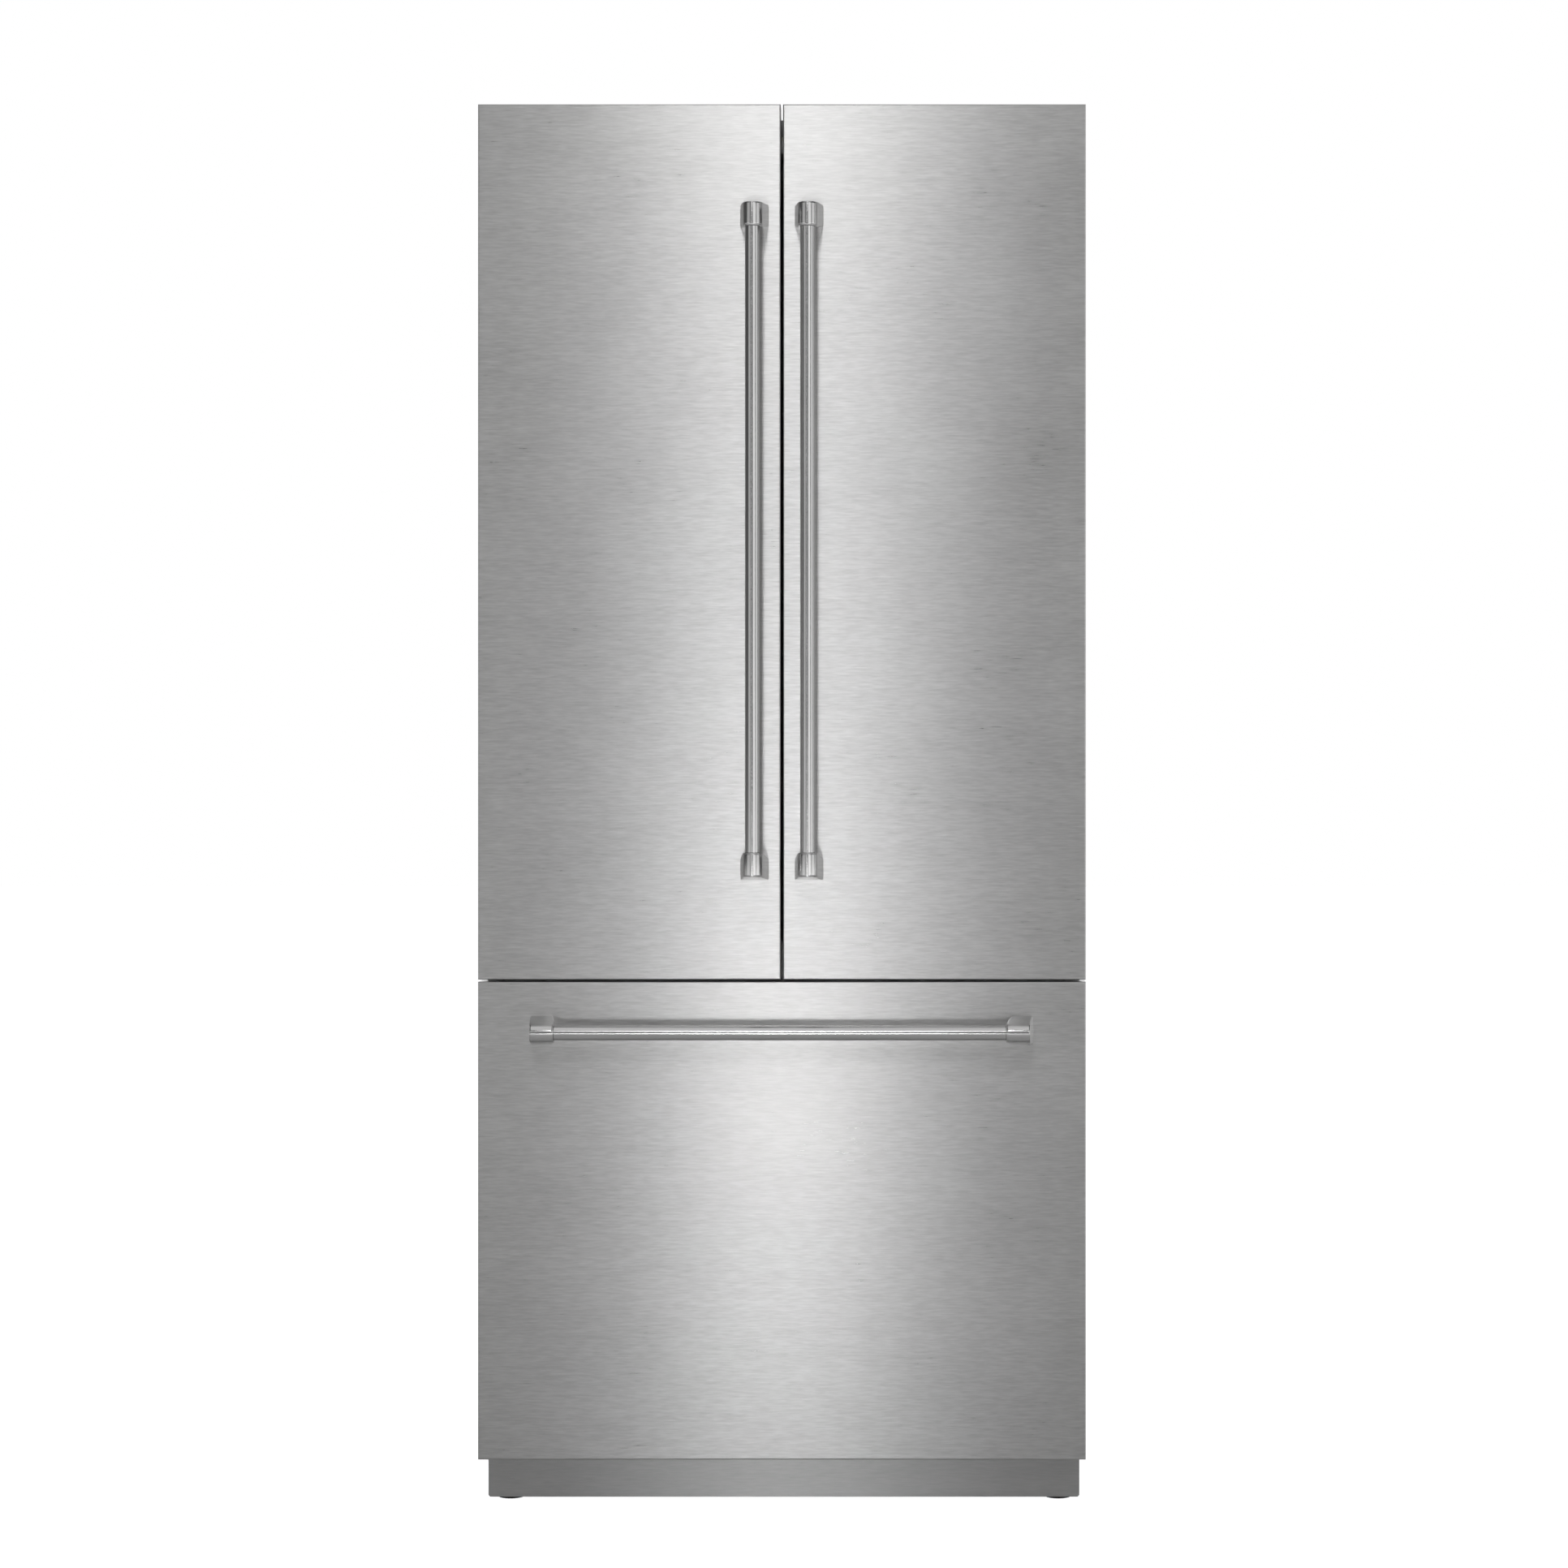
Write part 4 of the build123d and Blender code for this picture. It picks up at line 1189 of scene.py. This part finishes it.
@dataclass
class LevellingFoot(SubAssembly):
    """A ribbed pad, a hexagon nut and a threaded stud on one upright axis."""

    hand: Hand
    pad_height: float = 0.014
    ribs: int = 28
    rib_depth: float = 0.0009
    nut_sink: float = 0.0005
    stud_rise: float = 0.004
    nut_flats: float = 0.017
    nut_height: float = 0.006
    nut_reach: float = 0.0100
    nut_end_reach: float = 0.0094
    nut_bevel: float = 0.0008
    thread_pitch: float = 0.0018
    thread_depth: float = 0.00045
    stud_radius: float = 0.005

    def pad(self, centre: Sequence[float], radius: float) -> Loft:
        """A turned pad whose side radius dips by a squared cosine once for each rib.

        Args:
            centre: The middle of the pad's underside.
            radius: Its largest radius.

        Returns:
            The pad's skin.
        """
        share = np.array([0.0, 0.03, 0.10, 0.80, 0.93, 1.0, 1.0])
        inset = np.array([0.0006, 0.0, 0.0, 0.0, 0.0012, 0.004, 0.010])
        ribbed = np.array([0.0, 1.0, 1.0, 1.0, 0.4, 0.0, 0.0])
        turn = circle(self.ribs * 8)
        dip = (0.5 + 0.5 * np.cos(self.ribs * turn)) ** 2 * self.rib_depth
        reach = radius - inset[:, None] - ribbed[:, None] * dip
        return Loft(revolved(reach, turn, centre, centre[2] + share * self.pad_height))

    def nut(self, centre: Sequence[float], base: float) -> Loft:
        """A hexagon: half the flats over the cosine of the angle from the nearest flat.

        Args:
            centre: A point on its axis.
            base: The height of its underside.

        Returns:
            The nut's skin.
        """
        turn = circle(48)
        sixth = math.pi / 3
        corner = self.nut_flats / 2 / np.cos((turn % sixth) - sixth / 2)
        limit = np.array([self.nut_end_reach, self.nut_reach, self.nut_reach, self.nut_end_reach])
        height = np.array([0.0, self.nut_bevel, self.nut_height - self.nut_bevel, self.nut_height])
        reach = np.minimum(corner, limit[:, None])
        return Loft(revolved(reach, turn, centre, base + height))

    def stud(self, centre: Sequence[float], base: float, top: float) -> Loft:
        """A thread: the radius is a cosine of the turn less the height over the pitch.

        Args:
            centre: A point on its axis.
            base: The height of its lower end.
            top: The height of its upper end.

        Returns:
            The stud's skin.
        """
        height = np.arange(base, top, self.thread_pitch / 6)
        turn = circle(20)
        phase = turn - 2 * math.pi * height[:, None] / self.thread_pitch
        reach = self.stud_radius - self.thread_depth * (0.5 - 0.5 * np.cos(phase))
        return Loft(revolved(reach, turn, centre, height))

    def build(self) -> list[Piece]:
        """Build the pad, and the nut and stud as a second piece.

        Returns:
            The two pieces.
        """
        node = f"front_foot_{self.hand.value}"
        box = NodeBox.of(node)
        middle = box.middle()
        centre = (middle[0], middle[1], box.z[0])
        base = box.z[0] + self.pad_height - self.nut_sink
        metal = [self.nut(centre, base), self.stud(centre, base + self.stud_rise, box.z[1])]
        return [
            self.fitted(node, "pad", [self.pad(centre, (box.x[1] - box.x[0]) / 2)], "foot_rubber"),
            self.attached(node, "stud", metal, "zinc"),
        ]


@dataclass
class Roller(SubAssembly):
    """A rear roller with a hub, a dished web and a treaded rim."""

    hand: Hand
    treads: int = 40
    tread_depth: float = 0.0007
    rim_band: float = 0.0002
    bore: float = 0.0041

    def build(self) -> list[Piece]:
        """Turn the section about the axle; the rim dips between its treads.

        Returns:
            The roller.
        """
        node = f"rear_roller_{self.hand.value}"
        box = NodeBox.of(node)
        middle = box.middle()
        half, outer = (box.x[1] - box.x[0]) / 2, (box.z[1] - box.z[0]) / 2
        side = np.array([
            (self.bore, 1.0), (0.0085, 1.0), (0.0095, 0.92), (0.0105, 0.62), (0.0190, 0.62),
            (0.0205, 0.90), (0.0225, 0.99), (outer - 0.0008, 0.93), (outer, 0.86), (outer, 0.30),
        ])
        section = np.vstack((side, side[::-1] * np.array([1, -1])))
        turn = circle(self.treads * 6)
        dip = (0.5 + 0.5 * np.cos(self.treads * turn)) ** 4 * self.tread_depth
        on_rim = (section[:, 0] > outer - self.rim_band).astype(float)[:, None]
        reach = section[:, :1] - on_rim * dip
        upright = revolved(reach, turn, middle[1:], middle[0] + section[:, 1] * half)
        return [self.fitted(node, "treaded", [Loft(upright[..., [2, 0, 1]], wrapped=True)], "foot_rubber")]


# ---- outside sheets and covers


@dataclass
class HingeCover(SubAssembly):
    """A low moulded cover over each upper hinge plate."""

    x: Pair = (0.374, 0.4445)
    y: Pair = (-0.2160, -0.1380)
    z: Pair = (2.0880, 2.0990)
    corner: float = 0.012
    crown: float = 0.006

    def loft(self, side: int) -> Loft:
        """A stack of rounded rectangles that shrink along a quarter circle at the top.

        Args:
            side: -1 for the left cover, 1 for the right.

        Returns:
            The cover's skin.
        """
        turn = np.linspace(0, math.pi / 2, 7)
        inset = np.concatenate(([0.0], self.crown * (1 - np.cos(turn))))
        rise = np.concatenate(([0.0], (self.z[1] - self.z[0]) - self.crown * (1 - np.sin(turn))))
        across = sorted((side * self.x[0], side * self.x[1]))
        corner = np.maximum(self.corner - inset, LEAST_CORNER)
        return Loft(stacked_loops((across, self.y), inset, self.z[0] + rise, corner, 7))

    def build(self) -> list[Piece]:
        """Build both covers as one piece.

        Returns:
            The covers.
        """
        covers = piece_from_lofts("hinge_covers", [self.loft(-1), self.loft(1)])
        self.finishes.dress(covers, "cover_plastic")
        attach(covers, "cabinet")
        return [covers]


@dataclass
class EmbossedBack(SubAssembly):
    """The rear sheet, pressed in along rounded frames that stiffen it."""

    node: str = "back_panel"
    depth: float = 0.0014
    groove: float = 0.010
    columns: int = 2
    rows: int = 3
    margin: float = 0.045
    corner: float = 0.05
    sheet: float = 0.0012
    spacing: Pair = (0.0055, 0.0065)

    def build(self) -> list[Piece]:
        """Press the frames: the sheet sinks by a squared cosine of the distance from each frame's line.

        Returns:
            The sheet.
        """
        box = NodeBox.of(self.node)
        count_x = int((box.x[1] - box.x[0]) / self.spacing[0])
        count_z = int((box.z[1] - box.z[0]) / self.spacing[1])
        x, z = np.meshgrid(np.linspace(*box.x, count_x), np.linspace(*box.z, count_z), indexing="xy")
        cell_x = (box.x[1] - box.x[0]) / self.columns
        cell_z = (box.z[1] - box.z[0]) / self.rows
        local_x = np.abs((x - box.x[0]) % cell_x - cell_x / 2)
        local_z = np.abs((z - box.z[0]) % cell_z - cell_z / 2)
        past_x = local_x - (cell_x / 2 - self.margin) + self.corner
        past_z = local_z - (cell_z / 2 - self.margin) + self.corner
        beyond = np.hypot(np.maximum(past_x, 0), np.maximum(past_z, 0))
        inside = np.minimum(np.maximum(past_x, past_z), 0)
        distance = np.abs(beyond + inside - self.corner)
        sunk = self.depth * np.cos(np.minimum(distance / self.groove, 1) * math.pi / 2) ** 2
        points = np.stack((x, box.y[1] - sunk, z), axis=-1)
        faces = grid_faces(count_z, count_x, False)[:, ::-1]
        sheet = make_piece(f"{self.node}_pressed", points, faces.tolist())
        wall = sheet.modifiers.new("wall", "SOLIDIFY")
        wall.thickness = self.sheet
        wall.offset = -1.0
        self.carried(sheet, self.node, "zinc")
        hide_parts(self.node)
        return [sheet]


# ---- carried-over CAD nodes


@dataclass
class CarriedNodes(SubAssembly):
    """The finish of every CAD node whose own shape is shown."""

    def table(self) -> dict[str, str]:
        """Give each CAD node its finish, where * stands for left and right.

        Returns:
            The finish's name by node.
        """
        groups = {
            "front_steel": "door_panel_* drawer_panel",
            "plinth_steel": "toe_kick",
            "upright_bar_steel": "handle_bar_* handle_posts_*",
            "level_bar_steel": "drawer_handle_bar drawer_handle_posts",
            "cabinet_paint": "cabinet_shell",
            "compressor_paint": "compressor",
            "zinc": "back_panel base_pan divider_rail roller_brackets door_hinges rear_cover "
            "slide_outer slide_middle slide_inner shelf_ladders",
            "liner_plastic": "fridge_liner freezer_liner door_liner_* drawer_liner fridge_air_panel "
            "freezer_air_panel control_panel freezer_tray freezer_basket",
            "trim_plastic": "shelf_frames crisper_cover_frame",
            "mullion_plastic": "mullion_bar",
            "black_plastic": "mullion_brackets fan_shroud condenser_fan evaporator_fan drain_pan",
            "button_plastic": "control_button_* control_button_middle",
            "bin_plastic": "crisper_* door_bins_*",
            "lamp_lens": "ceiling_light",
            "shelf_glass": "shelf_glass",
            "seal_rubber": "door_gasket_* drawer_gasket",
            "foot_rubber": "front_foot_* rear_roller_*",
            "fin_aluminium": "condenser evaporator",
            "foam": "foam_insulation",
        }
        return {
            name.replace("*", side): finish
            for finish, names in groups.items()
            for name in names.split()
            for side in ("left", "right")
        }

    def build(self) -> list[Piece]:
        """Dress every node of the frame.

        Returns:
            No new pieces.
        """
        table = self.table()
        for node, piece in frame["nodes"].items():
            self.finishes.dress(piece, table[node])
        return []


# ---- studio


@dataclass
class Studio:
    """Floor, lights and camera."""

    camera_x: float = 0.220
    camera_y: float = -5.280
    camera_z: float = 1.0845
    view_width: float = 2.3422
    view_middle_x: float = 0.0032
    sensor: float = 36.0
    floor_half: float = 30.0
    floor_level: float = 0.38
    glow_start: float = 2.5
    glow_rise: float = 0.15
    glow_most: float = 0.40
    surround: float = 0.08
    aim_y: float = -0.3

    def floor(self) -> None:
        """Lay a wide pale floor that glows more from a few metres out, as a lit sweep does."""
        half = self.floor_half
        points = np.array([[-half, -half, 0], [half, -half, 0], [half, half, 0], [-half, half, 0]], float)
        floor = make_piece("studio_floor", points, [[0, 1, 2, 3]], False)
        shader = Shader("studio_floor")
        cloud = shader.cloud(0.4, 1.0)
        distance = shader.node("ShaderNodeVectorMath", {"operation": "LENGTH"}, {0: shader.place()})
        beyond = (Value(shader, distance.outputs["Value"]) - self.glow_start).most(0.0)
        glow = (beyond * self.glow_rise).least(self.glow_most)
        path = shader.node("ShaderNodeLightPath", {}, {})
        seen = Value(shader, path.outputs["Is Camera Ray"])
        material = shader.surface(
            Base_Color=shader.between(cloud, grey(self.floor_level - 0.01), grey(self.floor_level + 0.01)),
            Roughness=0.9,
            Emission_Color=shader.between(seen * 0.98 + (1 - seen) * glow, grey(0.0), grey(1.0)),
            Emission_Strength=1.0,
        )
        floor.data.materials.append(material)

    def world(self) -> None:
        """White where the camera looks, and an even grey for light and reflections."""
        world = bpy.data.worlds.new("studio")
        bpy.context.scene.world = world
        world.use_nodes = True
        tree = world.node_tree
        tree.nodes.clear()
        output = tree.nodes.new("ShaderNodeOutputWorld")
        mix = tree.nodes.new("ShaderNodeMixShader")
        path = tree.nodes.new("ShaderNodeLightPath")
        for index, strength in ((1, self.surround), (2, 1.0)):
            background = tree.nodes.new("ShaderNodeBackground")
            background.inputs["Strength"].default_value = strength
            background.inputs["Color"].default_value = (1, 1, 1, 1)
            tree.links.new(background.outputs[0], mix.inputs[index])
        tree.links.new(path.outputs["Is Camera Ray"], mix.inputs[0])
        tree.links.new(mix.outputs[0], output.inputs[0])

    def light(
        self,
        name: str,
        place: Sequence[float],
        aim: Sequence[float],
        size: Sequence[float],
        watts: float,
        glossy: bool = True,
    ) -> None:
        """Hang one rectangular soft light.

        Args:
            name: The light's name.
            place: Where it hangs.
            aim: The point it faces.
            size: Its width and height.
            watts: Its power.
            glossy: True if it shows in reflections.
        """
        data = bpy.data.lights.new(name, "AREA")
        data.shape = "RECTANGLE"
        data.size, data.size_y = size
        data.energy = watts
        lamp = bpy.data.objects.new(name, data)
        lamp.visible_glossy = glossy
        bpy.context.scene.collection.objects.link(lamp)
        lamp.location = place
        direction = Vector(aim) - Vector(place)
        lamp.rotation_euler = direction.to_track_quat("-Z", "Y").to_euler()

    def lamps(self) -> list[tuple[str, Triple, Pair, float]]:
        """List the soft boxes that show in the steel.

        Returns:
            Name, place, size and radiance of each.
        """
        return [
            ("low_strip", (-0.26, -6.2, 0.21), (0.45, 0.4), 16.5),
            ("low_box", (-0.26, -6.22, 0.21), (0.95, 0.4), 3.4),
            ("low_wide_box", (-0.26, -6.24, 0.31), (1.7, 0.6), 0.20),
            ("middle_strip", (-0.26, -6.2, 2.15), (0.6, 3.1), 0.34),
            ("high_strip", (-0.26, -6.2, 4.3), (0.45, 1.2), 3.2),
            ("high_box", (-0.26, -6.22, 4.3), (0.85, 1.2), 4.2),
            ("high_wide_box", (-0.26, -6.24, 4.3), (1.8, 1.2), 1.55),
            ("right_box", (2.60, -5.70, 2.0), (3.3, 4.4), 0.95),
            ("right_side", (5.4, -2.4, 2.0), (4.0, 4.0), 0.70),
            ("left_line", (-1.60, -6.00, 2.0), (0.35, 4.4), 1.1),
            ("left_box", (-4.2, -4.6, 2.0), (3.6, 4.4), 0.42),
            ("left_back", (-5.5, 3.2, 2.0), (4.0, 4.0), 1.0),
            ("right_back", (5.5, 2.2, 2.0), (4.0, 4.0), 1.0),
            ("back_box", (0.0, 6.2, 2.6), (4.0, 3.0), 1.4),
        ]

    def camera(self) -> None:
        """Set the camera level with the doors' middle, looking straight back."""
        data = bpy.data.cameras.new("camera")
        distance = NodeBox.of("door_panel_left").y[0] - self.camera_y
        data.sensor_width = self.sensor
        data.lens = self.sensor * distance / self.view_width
        data.shift_x = (self.view_middle_x - self.camera_x) / self.view_width
        camera = bpy.data.objects.new("camera", data)
        bpy.context.scene.collection.objects.link(camera)
        camera.location = (self.camera_x, self.camera_y, self.camera_z)
        camera.rotation_euler = (math.radians(90), 0, 0)
        bpy.context.scene.camera = camera

    def build(self) -> None:
        """Build the whole studio."""
        self.floor()
        self.world()
        self.camera()
        for name, place, size, radiance in self.lamps():
            self.light(name, place, (0.0, self.aim_y, place[2]), size, radiance * math.pi * size[0] * size[1])
        self.light("overhead", (0, -2.6, 4.7), (0, -2.2, 0), (4.4, 4.6), 38)
        self.light("fill", (0, -2.2, 5.2), (0, -1.0, 0), (6.0, 5.0), 85, glossy=False)
        self.light("front_fill", (-0.4, -5.0, 2.2), (0, 0, 1.2), (3.0, 2.4), 75, glossy=False)
        self.light("left_fill", (-5.0, -0.5, 2.6), (0, 0, 1.0), (3.0, 2.4), 40, glossy=False)
        self.light("right_fill", (5.0, -0.5, 2.6), (0, 0, 1.0), (3.0, 2.4), 40, glossy=False)
        bpy.context.scene.view_settings.view_transform = "Standard"


# ---- assembly


def main() -> None:
    """Build every sub-assembly in order."""
    logging.basicConfig(level=logging.INFO, format="%(message)s")
    finishes = Finishes.make()
    shape = HandleShape()
    parts: list[SubAssembly] = [CarriedNodes(finishes)]
    parts += [BarHandle(finishes, hand, shape) for hand in Hand]
    parts += [Gasket(finishes, node) for node in ("door_gasket_left", "door_gasket_right", "drawer_gasket")]
    for hand in (Hand.LEFT, Hand.RIGHT):
        parts += [kind(finishes, hand) for kind in (DoorBins, Crisper, LevellingFoot, Roller)]
    parts += [kind(finishes) for kind in (FreezerTray, DrainPan, HingeCover, EmbossedBack)]
    for part in parts:
        for piece in part.build():
            log.info("piece %s, %d faces", piece.name, len(piece.data.polygons))
    Studio().build()


if __name__ == "__main__":
    main()
